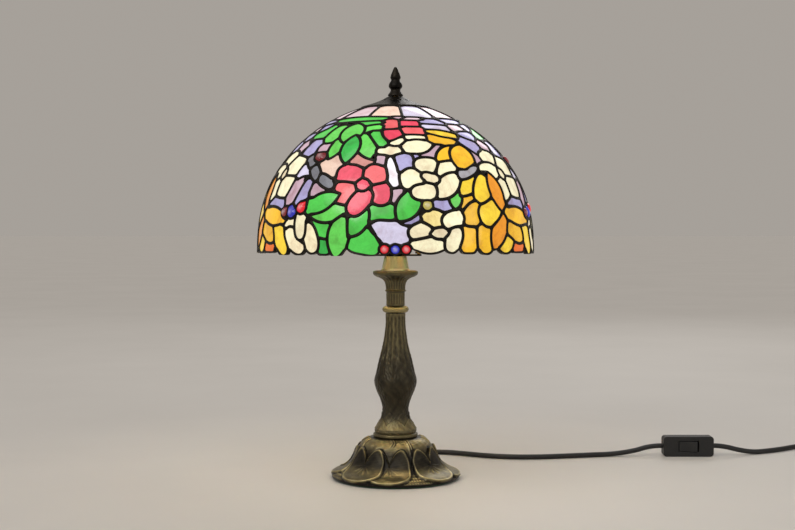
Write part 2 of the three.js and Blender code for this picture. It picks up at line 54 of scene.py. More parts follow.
# The two routes and the coil lie where the model's own solids lie; millimetres.
TO_SWITCH = [
    (0, 98.3, 8), (0, 103, 8), (2.5, 112, 6.7), (10, 127, 4), (25, 141.5, 3.1), (43, 149, 3.1),
    (62, 148, 3.1), (84, 138, 3.1), (110, 124, 3.1), (138, 116, 3.1), (168, 115, 3.1), (202, 121, 3.1),
    (236, 129, 3.1), (266, 135, 3.6), (291, 138.6, 6.8), (307, 139.7, 10.8), (320.5, 140, 12.35),
    (325.2, 140, 12.35),
]
TO_COIL = [
    (386.8, 140, 12.35), (391.5, 140, 12.35), (403, 141, 10.8), (420, 144, 6.6), (438, 149, 3.5),
    (459, 158.5, 3.1), (480, 172, 3.1), (500, 188, 3.1), (519, 204, 3.1), (538, 219, 3.1),
    (558, 228.5, 3.1),
]
PLUG_TAIL = [(626, 184.5, 6.7), (626, 181.4, 6.6)]
COIL_CENTRE = (580, 185)
COIL_OUTSIDE = 45.5
COIL_TURNS = 5.25
COIL_STEPS = 16  # points in each turn
COIL_PITCH = 6.05
COIL_SHIFT = 2.97  # the lower layer's circles lie this far to the left
LOWER_TURNS = 3
LAYER_LOW, LAYER_HIGH, COIL_END_HEIGHT = 3.1, 9.15, 6.7
UPPER_TURN = [3, 3.3, 4.3, 5, 5.08, 5.17, 5.25]
UPPER_RADIUS = [27.3, 26.6, 32.7, 37.6, 39.6, 43, 46]


def make_camera():
    """The camera in front of the lamp, looking a little down."""
    data = bpy.data.cameras.new("camera")
    data.lens = LENS
    data.sensor_width = SENSOR_WIDTH
    camera = bpy.data.objects.new("camera", data)
    camera.location = EYE
    camera.rotation_euler = (math.pi / 2 - LOOK_DOWN, 0, 0)
    bpy.context.scene.collection.objects.link(camera)
    bpy.context.scene.camera = camera


def coil_points():
    """Three turns winding inward on the table, then two and a quarter winding outward on top of them.

    The angle falls evenly with the turn; the radius falls by one cord a turn on a circle set 3 mm to the
    left, and then grows again in the upper layer, which drops to the plug's height as it leaves.
    """
    turn = np.arange(0, COIL_TURNS * COIL_STEPS) / COIL_STEPS
    angle = math.pi / 2 - FULL_TURN * turn
    offset = -COIL_SHIFT * np.sin(FULL_TURN * turn)
    low = COIL_OUTSIDE - COIL_PITCH * turn + offset
    high = np.interp(turn, UPPER_TURN, UPPER_RADIUS) + offset * np.clip(LOWER_TURNS + 1 - turn, 0, 1)
    radius = np.where(turn < LOWER_TURNS, low, high)
    height = np.interp(turn, [0, 2.98, 3.3, 5.14, COIL_TURNS],
                       [LAYER_LOW, LAYER_LOW, LAYER_HIGH, LAYER_HIGH, COIL_END_HEIGHT])
    x = COIL_CENTRE[0] + radius * np.cos(angle)
    y = COIL_CENTRE[1] + radius * np.sin(angle)
    return np.stack([x, y, height], -1).tolist()


def make_cord(name, points, node_names, material):
    """A round cord on one smooth open spline through the points."""
    curve = bpy.data.curves.new(name, "CURVE")
    curve.dimensions = "3D"
    curve.bevel_depth = CORD_RADIUS * MM
    curve.bevel_resolution = 5
    curve.resolution_u = 6
    curve.use_fill_caps = True
    spline = curve.splines.new("BEZIER")
    spline.bezier_points.add(len(points) - 1)
    for knot, point in zip(spline.bezier_points, points):
        knot.co = [c * MM for c in point]
        knot.handle_left_type = knot.handle_right_type = "AUTO"
    curve.materials.append(material)
    cord = bpy.data.objects.new(name, curve)
    bpy.context.scene.collection.objects.link(cord)
    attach(cord, "lamp")
    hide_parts(*node_names)


# ---- shape helpers ------------------------------------------------------------------------------------

def ring_faces(rows, columns, closed_rows=False):
    """Quads between neighbouring rows of points; each row closes on itself."""
    row = np.arange(rows if closed_rows else rows - 1)[:, None]
    column = np.arange(columns)[None, :]
    beside = (column + 1) % columns
    above = (row + 1) % rows
    corners = [row * columns + column, row * columns + beside, above * columns + beside,
               above * columns + column]
    return np.stack(corners, -1).reshape(-1, 4)


def rounded(profile, size=0.4, steps=3):
    """The outline with each corner replaced by a small parabola; ends on the axis stay as they are."""
    points = np.asarray(profile, float)
    is_open = points[0, 0] < 1e-6 and points[-1, 0] < 1e-6
    made = []
    for index, corner in enumerate(points):
        if is_open and index in (0, len(points) - 1):
            made.append(corner)
            continue
        before = points[index - 1] - corner
        after = points[(index + 1) % len(points)] - corner
        reach = min(size, 0.45 * np.linalg.norm(before), 0.45 * np.linalg.norm(after))
        start = corner + before / np.linalg.norm(before) * reach
        end = corner + after / np.linalg.norm(after) * reach
        for t in np.linspace(0, 1, steps + 1):
            made.append((1 - t) ** 2 * start + 2 * t * (1 - t) * corner + t ** 2 * end)
    return np.array(made)


def flowing(points, count):
    """A smooth curve through the points: cubic Hermite spans on centripetal spacing.

    Each span is the sum of its two ends and their tangents, weighted by the four cubic blending curves.
    """
    points = np.asarray(points, float)
    gaps = np.linalg.norm(np.diff(points, axis=0), axis=1) ** 0.5
    knot = np.concatenate([[0], np.cumsum(gaps)])
    tangent = np.gradient(points, knot, axis=0)
    at = np.linspace(0, knot[-1], count)
    span = np.clip(np.searchsorted(knot, at, side="right") - 1, 0, len(points) - 2)
    width = (knot[span + 1] - knot[span])[:, None]
    t = (at - knot[span])[:, None] / width
    start = (2 * t ** 3 - 3 * t ** 2 + 1) * points[span]
    start = start + (t ** 3 - 2 * t ** 2 + t) * width * tangent[span]
    end = (3 * t ** 2 - 2 * t ** 3) * points[span + 1] + (t ** 3 - t ** 2) * width * tangent[span + 1]
    return start + end


def outward(curve):
    """Unit normals on the right of a curve of [radius, height] points that runs upwards."""
    run = np.gradient(curve, axis=0)
    run = run / np.linalg.norm(run, axis=1)[:, None]
    return np.stack([run[:, 1], -run[:, 0]], -1)


def turned(profile, segments=96, lift=None):
    """The profile's [radius, height] points carried round Z, each moved by lift along the profile's normal.

    The profile is a loop, or starts and ends on the axis, and runs up the outside.
    """
    profile = np.asarray(profile, float)
    azimuth = np.arange(segments) / segments * FULL_TURN
    poles = profile[:, 0] < 1e-6
    wall = profile[~poles]
    radius, height = wall[:, :1], wall[:, 1:]
    if lift is not None:
        normal = outward(profile)[~poles]
        radius = radius + lift[~poles] * normal[:, :1]
        height = height + lift[~poles] * normal[:, 1:]
    radius = radius + 0 * azimuth
    height = height + 0 * azimuth
    points = np.stack([radius * np.sin(azimuth), -radius * np.cos(azimuth), height], -1).reshape(-1, 3)
    faces = [ring_faces(len(wall), segments, not poles.any())]
    column = np.arange(segments)
    beside = (column + 1) % segments
    if poles[0]:
        tip = np.full(segments, len(points))
        points = np.vstack([points, [0, 0, profile[0, 1]]])
        faces.append(np.stack([tip, beside, column], -1))
    if poles[-1]:
        last = (len(wall) - 1) * segments
        tip = np.full(segments, len(points))
        points = np.vstack([points, [0, 0, profile[-1, 1]]])
        faces.append(np.stack([tip, last + column, last + beside], -1))
    return points, faces


def prism(outline, low, high):
    """An outline in X and Y, running anticlockwise, carried along Z."""
    outline = np.asarray(outline, float)
    count = len(outline)
    points = np.vstack([np.column_stack([outline, np.full(count, z)]) for z in (low, high)])
    caps = [np.arange(count)[::-1][None, :], (np.arange(count) + count)[None, :]]
    return points, [ring_faces(2, count)] + caps


def wire(path, radius, sides=16):
    """A round wire along a path: circles square to the path, each frame carried on from the last."""
    path = np.asarray(path, float)
    run = np.gradient(path, axis=0)
    run = run / np.linalg.norm(run, axis=1)[:, None]
    across = np.cross(run[0], [0.0, 1.0, 0.1])
    turns = np.arange(sides) / sides * FULL_TURN
    rows = []
    for place, forward in zip(path, run):
        across = across - forward * across.dot(forward)
        across = across / np.linalg.norm(across)
        beside = np.cross(forward, across)
        rows.append(place + radius * (np.outer(np.cos(turns), across) + np.outer(np.sin(turns), beside)))
    count = len(path)
    caps = [np.arange(sides)[::-1][None, :], (np.arange(sides) + (count - 1) * sides)[None, :]]
    return np.vstack(rows), [ring_faces(count, sides)] + caps


def combined(*parts):
    """Several parts as one, their faces renumbered."""
    points, faces, start = [], [], 0
    for part_points, part_faces in parts:
        points.append(part_points)
        faces += [face + start for face in part_faces]
        start += len(part_points)
    return np.vstack(points), faces


def placed(part, shift=(0, 0, 0), along_y=False, turn=0.0):
    """The part with its Z laid along +Y if asked, then turned about Z, then shifted."""
    points, faces = part
    points = np.array(points)
    if along_y:
        points = np.stack([points[:, 0], points[:, 2], -points[:, 1]], -1)
    cosine, sine = math.cos(turn), math.sin(turn)
    x = points[:, 0] * cosine - points[:, 1] * sine
    y = points[:, 0] * sine + points[:, 1] * cosine
    return np.stack([x, y, points[:, 2]], -1) + np.array(shift, float), faces


def new_mesh(name, part, material, sharp_angle=40):
    """A mesh in metres from a part's points and faces, shaded smooth but for edges past the sharp angle."""
    points, faces = part
    sizes = np.concatenate([np.full(len(face), face.shape[1]) for face in faces])
    corners = np.concatenate([face.ravel() for face in faces])
    mesh = bpy.data.meshes.new(name)
    mesh.vertices.add(len(points))
    mesh.vertices.foreach_set("co", (points * MM).astype(np.float32).ravel())
    mesh.loops.add(len(corners))
    mesh.loops.foreach_set("vertex_index", corners.astype(np.int32))
    mesh.polygons.add(len(sizes))
    mesh.polygons.foreach_set("loop_start", (np.cumsum(sizes) - sizes).astype(np.int32))
    mesh.polygons.foreach_set("loop_total", sizes.astype(np.int32))
    mesh.polygons.foreach_set("use_smooth", np.ones(len(sizes), bool))
    mesh.update(calc_edges=True)
    mesh.set_sharp_from_angle(angle=math.radians(sharp_angle))
    mesh.materials.append(material)
    return mesh


def add_piece(name, part, material, body="lamp", nodes=(), values=None, sharp_angle=40):
    """A finished piece: its mesh, its number or colour for each point, its body and its nodes."""
    mesh = new_mesh(name, part, material, sharp_angle)
    for key, numbers in (values or {}).items():
        numbers = np.asarray(numbers, np.float32)
        is_colour = numbers.ndim == 2
        layer = mesh.attributes.new(key, "FLOAT_COLOR" if is_colour else "FLOAT", "POINT")
        layer.data.foreach_set("color" if is_colour else "value", numbers.ravel())
    piece = bpy.data.objects.new(name, mesh)
    bpy.context.scene.collection.objects.link(piece)
    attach(piece, body)
    if nodes:
        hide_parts(*nodes)
    return piece


def bevelled(piece, width, segments=3):
    """The piece with its sharp edges rounded to the width."""
    bevel = piece.modifiers.new("soft_edges", "BEVEL")
    bevel.width = width * MM
    bevel.segments = segments
    bevel.limit_method = "ANGLE"
    bevel.angle_limit = math.radians(35)
    return piece


def drilled(piece, *tools):
    """The piece with the tools' shapes cut out of it for good."""
    material = piece.data.materials[0]
    cutter = bpy.data.objects.new("cutter", new_mesh("cutter", combined(*tools), material))
    bpy.context.scene.collection.objects.link(cutter)
    cut = piece.modifiers.new("cut", "BOOLEAN")
    cut.object = cutter
    cut.solver = "EXACT"
    cut.use_self = len(tools) > 1
    graph = bpy.context.evaluated_depsgraph_get()
    mesh = bpy.data.meshes.new_from_object(piece.evaluated_get(graph))
    piece.modifiers.clear()
    piece.data = mesh
    bpy.data.objects.remove(cutter)
    return piece


def hill(distance, width):
    """A smooth ridge: one at the line, fading to nothing a few widths away."""
    return np.exp(-(distance / width) ** 2)


def step(value, low, high):
    """Nought below low, one above high, with a smooth rise between."""
    t = np.clip((value - low) / (high - low), 0, 1)
    return t * t * (3 - 2 * t)


def lumps(azimuth, along, seed, size, count=14):
    """Even unevenness of a hand-finished casting: waves of the wanted size in random directions, summed."""
    random = np.random.default_rng(seed)
    total = 0
    for _ in range(count):
        around = int(round(random.uniform(0.3, 1) * 150 / size))
        upward = random.normal() * 4 / size
        phase = random.uniform(0, FULL_TURN)
        total = total + np.sin(around * azimuth + upward * along + phase)
    return total / math.sqrt(count)


# ---- material helpers ---------------------------------------------------------------------------------

COLOUR_A, COLOUR_B, COLOUR_RESULT = 6, 7, 2  # the Mix node's colour sockets, which share names with others


def add_node(tree, kind, settings=None, **inputs):
    """A node with its settings, and its sockets given a number, a colour or a link."""
    made = tree.nodes.new(kind)
    for key, value in (settings or {}).items():
        setattr(made, key, value)
    for key, value in inputs.items():
        socket = made.inputs[key.replace("_", " ")]
        if isinstance(value, bpy.types.NodeSocket):
            tree.links.new(value, socket)
        else:
            socket.default_value = value
    return made


def new_material(name, **inputs):
    """A material whose shader's own sockets hold what is the same all over."""
    material = bpy.data.materials.new(name)
    material.use_nodes = True
    tree = material.node_tree
    shader = tree.nodes["Principled BSDF"]
    for key, value in inputs.items():
        shader.inputs[key.replace("_", " ")].default_value = value
    return material, tree, shader


def linear(colour):
    """An sRGB colour as the shader's linear one."""
    return tuple(c / 12.92 if c <= 0.04045 else ((c + 0.055) / 1.055) ** 2.4 for c in colour)


def opaque(colour):
    """An sRGB colour as the shader's linear one, with an alpha of one."""
    return (*linear(colour), 1.0)


def noise(tree, scale, detail=3.0, stretch=(1, 1, 1), **inputs):
    """Cloudy noise on the piece's own coordinates; a stretch below one draws the clouds out that way."""
    place = add_node(tree, "ShaderNodeTexCoord").outputs["Object"]
    mapped = add_node(tree, "ShaderNodeMapping", Vector=place)
    mapped.inputs["Scale"].default_value = stretch
    cloud = add_node(tree, "ShaderNodeTexNoise", Vector=mapped.outputs["Vector"], Scale=scale,
                     Detail=detail, Roughness=0.6, **inputs)
    return cloud.outputs["Fac"]


def ramp(tree, fac, stops):
    """A colour ramp from (place, colour) stops."""
    made = add_node(tree, "ShaderNodeValToRGB", Fac=fac)
    elements = made.color_ramp.elements
    while len(elements) < len(stops):
        elements.new(0.5)
    for element, (place, colour) in zip(elements, stops):
        element.position = place
        element.color = opaque(colour)
    return made.outputs["Color"]


def between(tree, fac, low, high):
    """The noise's middle range carried to low..high."""
    made = add_node(tree, "ShaderNodeMapRange", Value=fac)
    made.inputs["From Min"].default_value = 0.3
    made.inputs["From Max"].default_value = 0.7
    made.inputs["To Min"].default_value = low
    made.inputs["To Max"].default_value = high
    return made.outputs["Result"]


def add_bump(tree, shader, height, strength, distance):
    """Fine surface grain under the shader; the distance is in millimetres."""
    bump = add_node(tree, "ShaderNodeBump", Height=height, Strength=strength, Distance=distance * MM)
    tree.links.new(bump.outputs["Normal"], shader.inputs["Normal"])


def multiplied(tree, first, second):
    """A link's colour times another link's colour or a plain one."""
    mix = add_node(tree, "ShaderNodeMix", {"data_type": "RGBA", "blend_type": "MULTIPLY"}, Factor=1.0)
    tree.links.new(first, mix.inputs[COLOUR_A])
    if isinstance(second, bpy.types.NodeSocket):
        tree.links.new(second, mix.inputs[COLOUR_B])
    else:
        mix.inputs[COLOUR_B].default_value = second
    return mix.outputs[COLOUR_RESULT]


def worked_finish(name, dark, light, scale, rough, bump, stretch=(1, 1, 1), fine=900, **fixed):
    """A finish with clouded colour, uneven gloss and a fine grain: metals, plastics, felt and porcelain.

    The gloss has its own clouds, a little over twice as fine as those of the colour.
    """
    material, tree, shader = new_material(name, **fixed)
    clouds = noise(tree, scale, 4.0, stretch)
    tree.links.new(ramp(tree, clouds, [(0.32, dark), (0.68, light)]), shader.inputs["Base Color"])
    gloss = between(tree, noise(tree, scale * 2.3, 5.0, stretch), *rough)
    tree.links.new(gloss, shader.inputs["Roughness"])
    add_bump(tree, shader, noise(tree, fine, 2.0, stretch), 0.35, bump)
    return material


PATINA_CLOUDS = 0.36  # how much the patina's clouds sway the relief's shine
# GLASS_GLOW is the strength of the painted glow that stands in for the bulb's light through the glass.
GLASS_GLOW = 0.92
UNLIT_GLASS = 0.38  # how much darker the glass is in the room's light than in the bulb's


def cast_bronze():
    """Patinated bronze: brown-black in the recesses, olive brown on the flats, rubbed gold on high spots.

    The colour's place on its scale is the relief value, which on the foot and column also carries painted
    light and shade, plus the patina's clouds less their middle value.
    """
    material, tree, shader = new_material("patinated_bronze", Metallic=0.72)
    relief = add_node(tree, "ShaderNodeAttribute", {"attribute_name": "relief"}).outputs["Fac"]
    clouds = noise(tree, 130, 6.0)
    shifted = add_node(tree, "ShaderNodeMath", {"operation": "MULTIPLY_ADD"})
    tree.links.new(clouds, shifted.inputs[0])
    shifted.inputs[1].default_value = PATINA_CLOUDS
    tree.links.new(relief, shifted.inputs[2])
    worn = add_node(tree, "ShaderNodeMath", {"operation": "SUBTRACT"})
    tree.links.new(shifted.outputs["Value"], worn.inputs[0])
    worn.inputs[1].default_value = PATINA_CLOUDS / 2
    stops = [(0.06, (0.085, 0.072, 0.056)), (0.34, (0.245, 0.223, 0.168)), (0.60, (0.43, 0.395, 0.285)),
             (0.90, (0.68, 0.62, 0.43)), (1.0, (0.76, 0.73, 0.60))]
    tree.links.new(ramp(tree, worn.outputs["Value"], stops), shader.inputs["Base Color"])
    tree.links.new(between(tree, noise(tree, 420, 5.0), 0.27, 0.46), shader.inputs["Roughness"])
    add_bump(tree, shader, noise(tree, 650, 5.0), 0.45, 0.18)
    return material


def leaded_glass():
    """Opalescent sheet glass, its glow from within painted: each pane's tint times drifting streaks and fine
    wisps.
    """
    material, tree, shader = new_material("opalescent_glass", Roughness=0.16, IOR=1.5, Coat_Weight=0.35,
                                          Coat_Roughness=0.06, Emission_Strength=GLASS_GLOW)
    tint = add_node(tree, "ShaderNodeAttribute", {"attribute_name": "pane_tint_in_painted_light"}).outputs["Color"]
    seed = add_node(tree, "ShaderNodeAttribute", {"attribute_name": "pane_seed"}).outputs["Fac"]
    place = add_node(tree, "ShaderNodeTexCoord").outputs["Object"]
    streaks = add_node(tree, "ShaderNodeTexNoise", {"noise_dimensions": "4D"}, Vector=place, W=seed,
                       Scale=38.0, Detail=4.0, Roughness=0.55, Distortion=1.6).outputs["Fac"]
    wisps = add_node(tree, "ShaderNodeTexNoise", {"noise_dimensions": "4D"}, Vector=place, W=seed,
                     Scale=160.0, Detail=5.0, Roughness=0.65, Distortion=2.4).outputs["Fac"]
    shade = ramp(tree, streaks, [(0.28, (0.86, 0.80, 0.79)), (0.52, (0.97, 0.96, 0.96)), (0.70, (1, 1, 1))])
    fine = ramp(tree, wisps, [(0.35, (0.94, 0.94, 0.94)), (0.62, (1, 1, 1))])
    lit = multiplied(tree, multiplied(tree, tint, shade), fine)
    unlit = multiplied(tree, lit, (UNLIT_GLASS, UNLIT_GLASS, UNLIT_GLASS, 1))
    tree.links.new(unlit, shader.inputs["Base Color"])
    tree.links.new(lit, shader.inputs["Emission Color"])
    add_bump(tree, shader, wisps, 0.25, 0.35)
    return material


def soldered_lead():
    """Solder over copper foil, blackened, with clouded colour and a dull uneven gloss."""
    material, tree, shader = new_material("blackened_solder", Metallic=0.75)
    colour = ramp(tree, noise(tree, 160, 5.0), [(0.35, (0.07, 0.06, 0.05)), (0.72, (0.17, 0.15, 0.12))])
    tree.links.new(colour, shader.inputs["Base Color"])
    tree.links.new(between(tree, noise(tree, 300, 4.0), 0.30, 0.52), shader.inputs["Roughness"])
    add_bump(tree, shader, noise(tree, 420, 4.0), 0.5, 0.25)
    return material


BRONZE = cast_bronze()
GLASS = leaded_glass()
SOLDER = soldered_lead()
DARK_METAL = worked_finish("dark_bronze_metal", (0.065, 0.058, 0.050), (0.16, 0.138, 0.108), 70,
                           (0.28, 0.46), 0.12, Metallic=0.85)
BRASS = worked_finish("aged_brass", (0.60, 0.46, 0.22), (0.80, 0.64, 0.34), 60, (0.24, 0.42), 0.06,
                      stretch=(1, 1, 0.2), Metallic=1.0)
STEEL = worked_finish("plated_steel", (0.55, 0.55, 0.54), (0.74, 0.74, 0.72), 90, (0.22, 0.38), 0.05,
                      stretch=(1, 1, 0.3), Metallic=1.0)
BAKELITE = worked_finish("bakelite", (0.045, 0.040, 0.038), (0.085, 0.075, 0.068), 50, (0.22, 0.34), 0.04)
PORCELAIN = worked_finish("porcelain", (0.86, 0.84, 0.80), (0.94, 0.93, 0.90), 40, (0.14, 0.26), 0.04)
PLASTIC = worked_finish("moulded_plastic", (0.050, 0.050, 0.052), (0.085, 0.085, 0.088), 120,
                        (0.34, 0.50), 0.12, fine=2600)
JACKET = worked_finish("cord_jacket", (0.045, 0.043, 0.042), (0.080, 0.077, 0.074), 90, (0.36, 0.52), 0.08,
                       fine=1800)
FELT = worked_finish("felt", (0.07, 0.15, 0.10), (0.16, 0.28, 0.19), 600, (0.90, 1.0), 0.6, fine=2200,
                     Sheen_Weight=0.5)


def frosted_bulb():
    """Frosted glass glowing warm, its colour faintly clouded."""
    material, tree, shader = new_material("frosted_bulb", Roughness=0.45, Emission_Strength=30.0)
    colour = ramp(tree, noise(tree, 30, 3.0), [(0.3, (1.0, 0.90, 0.74)), (0.7, (1.0, 0.95, 0.83))])
    tree.links.new(colour, shader.inputs["Base Color"])
    tree.links.new(colour, shader.inputs["Emission Color"])
    add_bump(tree, shader, noise(tree, 1500, 3.0), 0.3, 0.05)
    return material


# ---- foot ---------------------------------------------------------------------------------------------

TUBE_HOLE = 5.3  # radius of the hole that the threaded tube passes through
FOOT_OUTSIDE = [(71, 2.3), (71, 4.2), (68.5, 6.2), (59.4, 10), (52, 15.8), (46.5, 24), (41.2, 35),
                (37.3, 40.6), (32, 44.4), (26.5, 46)]
FOOT_INSIDE = [(TUBE_HOLE, 46), (TUBE_HOLE, 42.5), (28, 42.5), (36.4, 35), (41, 25), (46, 16.8), (54, 9.4),
               (66, 4.2), (67.5, 2.3)]
LEAF_HALF_WIDTH, LEAF_HALF_HEIGHT = 22.6, 24.8
LEAF_MIDDLE = 26.5  # up the foot's side from its rim
LEAF_RADIUS = 50  # below this radius a pad is as wide as given; further out it widens with the foot
LEAF_PLACES = [-8, -41]  # degrees, the second lying over the first; the pair comes round four times
LEAF_VEINS = (-1.35, -0.75, -0.25, 0.25, 0.75, 1.35)  # radians from straight down
STEM_PLACES = [(-8, 51), (21, 20)]  # degrees, and how far up each stem starts
STEM_TOP = 63
FRILL_PLACE, FRILL_TOP, FRILL_ROW = 22, 19, 5.5  # degrees round; millimetres up, and between its rows
FOOT_ROWS, FOOT_COLUMNS = 118, 720


def leaf_relief(beside, above):
    """A lily pad from its own middle: an oval cut by a deep notch, with two rolled lobes, a rim and veins.

    The lower half is a little squarer than an oval, its power rising above two. The notch is a dip in the
    oval's radius round the upward direction, with a slight swelling on either side. The lobes are ridges
    along the edge beside the notch, and the veins are ridges that spread from just above the middle. It
    gives the height, the cover, the brightness and the painted shadow in the groove round the outside. The
    brightness is rubbed on the rim, the lobes and the veins, painted light on the lower half, which faces
    up, and painted shade in the dished middle.
    """
    heading = np.arctan2(beside, above)
    notch = 1 - 0.80 * hill(heading, 0.30) + 0.07 * hill(np.abs(heading) - 0.55, 0.25)
    power = 2 + 0.4 * step(-above, 0, 10)
    across, up = np.abs(beside / LEAF_HALF_WIDTH) + 1e-6, np.abs(above / LEAF_HALF_HEIGHT) + 1e-6
    reach = (across ** power + up ** power) ** (1 / power) / notch
    to_edge = (1 - reach) * np.clip(np.hypot(beside, above) / np.maximum(reach, 0.05), 3, 26)
    inside = step(to_edge, -1.1, 0.7)
    painted_groove_shadow = hill(to_edge + 1.3, 0.9)
    rim = hill(to_edge - 1.0, 0.85)
    lobes = hill(to_edge - 1.8, 1.5) * hill(np.abs(heading) - 0.45, 0.42)
    lower = step(-above, -5, 9)
    away = np.hypot(beside, above - 2)
    turn = np.arctan2(beside, 2 - above)
    veins = 0 * reach
    for vein in LEAF_VEINS:
        apart = away * np.sin(np.clip(turn - vein, -1.4, 1.4))
        veins = veins + hill(apart, 0.75) * step(away, 1.5, 4) * (1 - step(away, 10, 15))
    dish = step(reach, 0.15, 0.9)
    lift = inside * (0.6 + 1.2 * dish + 0.5 * veins) + 0.6 * rim + 0.7 * lobes - 0.3 * painted_groove_shadow
    # Painted light on the lower half, which faces up; rubbed rim, lobes and veins; painted shade in the
    # dished middle.
    rubbing_and_painted_light = 0.02 + 0.42 * lower + 0.36 * rim + 0.40 * lobes + 0.24 * veins * lower - 0.12 * hill(away, 7)
    return lift, inside, rubbing_and_painted_light, painted_groove_shadow


def foot_relief(azimuth, along, radius):
    """Lily pads round the skirt, a ribbed frill between them at the rim, and stems rising to the collar.

    A stem is a pair of ridges that bow to one side by half a sine wave. The frill is rows of ridges cut by
    slanting waves. The pads are laid over both, one after the other, and the relief fades out at the rim and
    the collar. It gives how far each point stands out and how bright its bronze is: rubbed on high spots,
    with painted light on the upward-facing slope below the collar and on the pads' lower halves, painted
    shadow in the groove round each pad, and darker along the bottom edge.
    """
    degrees = np.degrees(azimuth)
    rough = lumps(azimuth, along, 3, 4.5)
    # Painted light: the upper slope below the collar faces up and is painted lighter.
    painted_light_shoulder = step(along, 40, 54)

    def beside_of(place):
        """The distance along the surface from the nearest of four upright lines."""
        return np.radians((degrees - place + 45) % 90 - 45) * radius

    lift = 0.2 * rough
    rubbing_and_painted_light = 0.04 + 0.52 * painted_light_shoulder + 0.04 * rough
    for place, start in STEM_PLACES:
        bend = 2.6 * np.sin(np.clip((along - start) / (STEM_TOP - start), 0, 1) * math.pi)
        beside = beside_of(place) - bend
        length = step(along, start, start + 3)
        ridge = (hill(beside - 1.3, 0.8) + hill(beside + 1.3, 0.8)) * length
        lift = lift + 1.0 * ridge
        rubbing_and_painted_light = rubbing_and_painted_light + 0.16 * ridge - 0.40 * (hill(beside, 0.8) + hill(beside - 2.8, 0.7)) * length
    across = beside_of(FRILL_PLACE)
    width = step(19 - np.abs(across), 0, 3)
    rows = hill((along - 5) % FRILL_ROW - 2.7, 1.4) * step(along, 2, 3)
    rows = rows * (1 - step(along, FRILL_TOP - 2, FRILL_TOP))
    frill = width * rows * (0.55 + 0.45 * np.cos(across * 2.0 + along * 1.1))
    lift = lift + 1.0 * frill
    rubbing_and_painted_light = rubbing_and_painted_light + 0.55 * frill + 0.28 * width * (1 - step(along, 18, 24))
    for order, place in enumerate(LEAF_PLACES):
        beside = beside_of(place) * LEAF_RADIUS / np.maximum(radius, LEAF_RADIUS)
        leaf, inside, bright, painted_groove_shadow = leaf_relief(beside, along - LEAF_MIDDLE)
        lift = lift * (1 - inside) + leaf + 0.7 * order * inside
        bright = bright + 0.04 * rough
        # Painted shadow darkens the groove round each pad.
        rubbing_and_painted_light = rubbing_and_painted_light * (1 - inside) + bright * inside - 0.42 * painted_groove_shadow
    ends = step(along, 0.8, 2.2) * (1 - step(along, STEM_TOP - 0.5, STEM_TOP + 1.5))
    return lift * ends, 0.16 + rubbing_and_painted_light * (0.2 + 0.8 * ends) - 0.3 * (1 - step(along, 1.0, 2.4))


def make_foot():
    """The bell's profile carried round, each point moved out by the relief; the inside is plain."""
    outside = np.vstack([[FOOT_OUTSIDE[0]], [(71, 3.0)], flowing(FOOT_OUTSIDE[1:], FOOT_ROWS)])
    along = np.concatenate([[0], np.cumsum(np.linalg.norm(np.diff(outside, axis=0), axis=1))])[:, None]
    azimuth = (np.arange(FOOT_COLUMNS) / FOOT_COLUMNS * FULL_TURN)[None, :]
    lift, rubbing_and_painted_light = foot_relief(azimuth, along, outside[:, :1])
    blank = np.zeros((len(FOOT_INSIDE), FOOT_COLUMNS))
    part = turned(np.vstack([outside, FOOT_INSIDE]), FOOT_COLUMNS, np.vstack([lift, blank]))
    relief = np.vstack([rubbing_and_painted_light, blank - 0.2])
    add_piece("foot_relief_casting", part, BRONZE, nodes=["foot_casting"],
              values={"relief": relief.ravel()}, sharp_angle=60)


# ---- column, neck and capital -------------------------------------------------------------------------

COLUMN_OUTSIDE = [(22.6, 51.1), (23.3, 53.6), (19.9, 59), (15.9, 67), (14.5, 78), (17.3, 89), (21.2, 98),
                  (23.6, 108), (21.7, 118), (18.7, 132), (15.2, 145), (12.6, 159), (11.2, 172),
                  (11, 183.7)]
COLUMN_INSIDE = [(TUBE_HOLE, 183.7), (TUBE_HOLE, 176), (8.4, 164), (15.2, 132), (20, 108), (11, 79),
                 (11, 68), (TUBE_HOLE, 60), (TUBE_HOLE, 51.1)]
CAPITAL_OUTSIDE = [(10.6, 207.5), (11.7, 208.7), (10.7, 210), (10.9, 215), (12.4, 219.5), (16.4, 222.8),
                   (21.4, 224.8), (24.2, 226.4), (25.0, 228.4), (24.4, 230.2), (22, 231)]
FLUTES = 16
PETALS = 6


def petal_relief(azimuth, height, radius, foot, tip, offset):
    """A row of upright petals: rounded at the foot, drawn to a point, with a raised rim and a middle rib.

    A petal's half width falls from foot to tip as one less a power of the height; the rim follows the edge.
    """
    pitch = FULL_TURN / PETALS
    apart = (azimuth - offset + pitch / 2) % pitch - pitch / 2
    up = np.clip((height - foot) / (tip - foot), -0.5, 1.5)
    narrowing = np.clip(1 - np.clip(up, 0, 1) ** 2.4, 0, 1)
    half_width = radius * pitch * 0.56 * narrowing
    edge = half_width - np.abs(apart * radius)
    inside = step(edge, -0.5, 0.9) * step(1.02 - up, 0, 0.06)
    rim = hill(edge - 1.1, 0.9) * step(1.02 - up, 0, 0.06)
    rib = hill(apart * radius, 0.6) * inside * step(0.8 - up, 0, 0.3)
    return inside * (0.5 + 0.5 * up) + 0.5 * rim + 0.3 * rib, inside


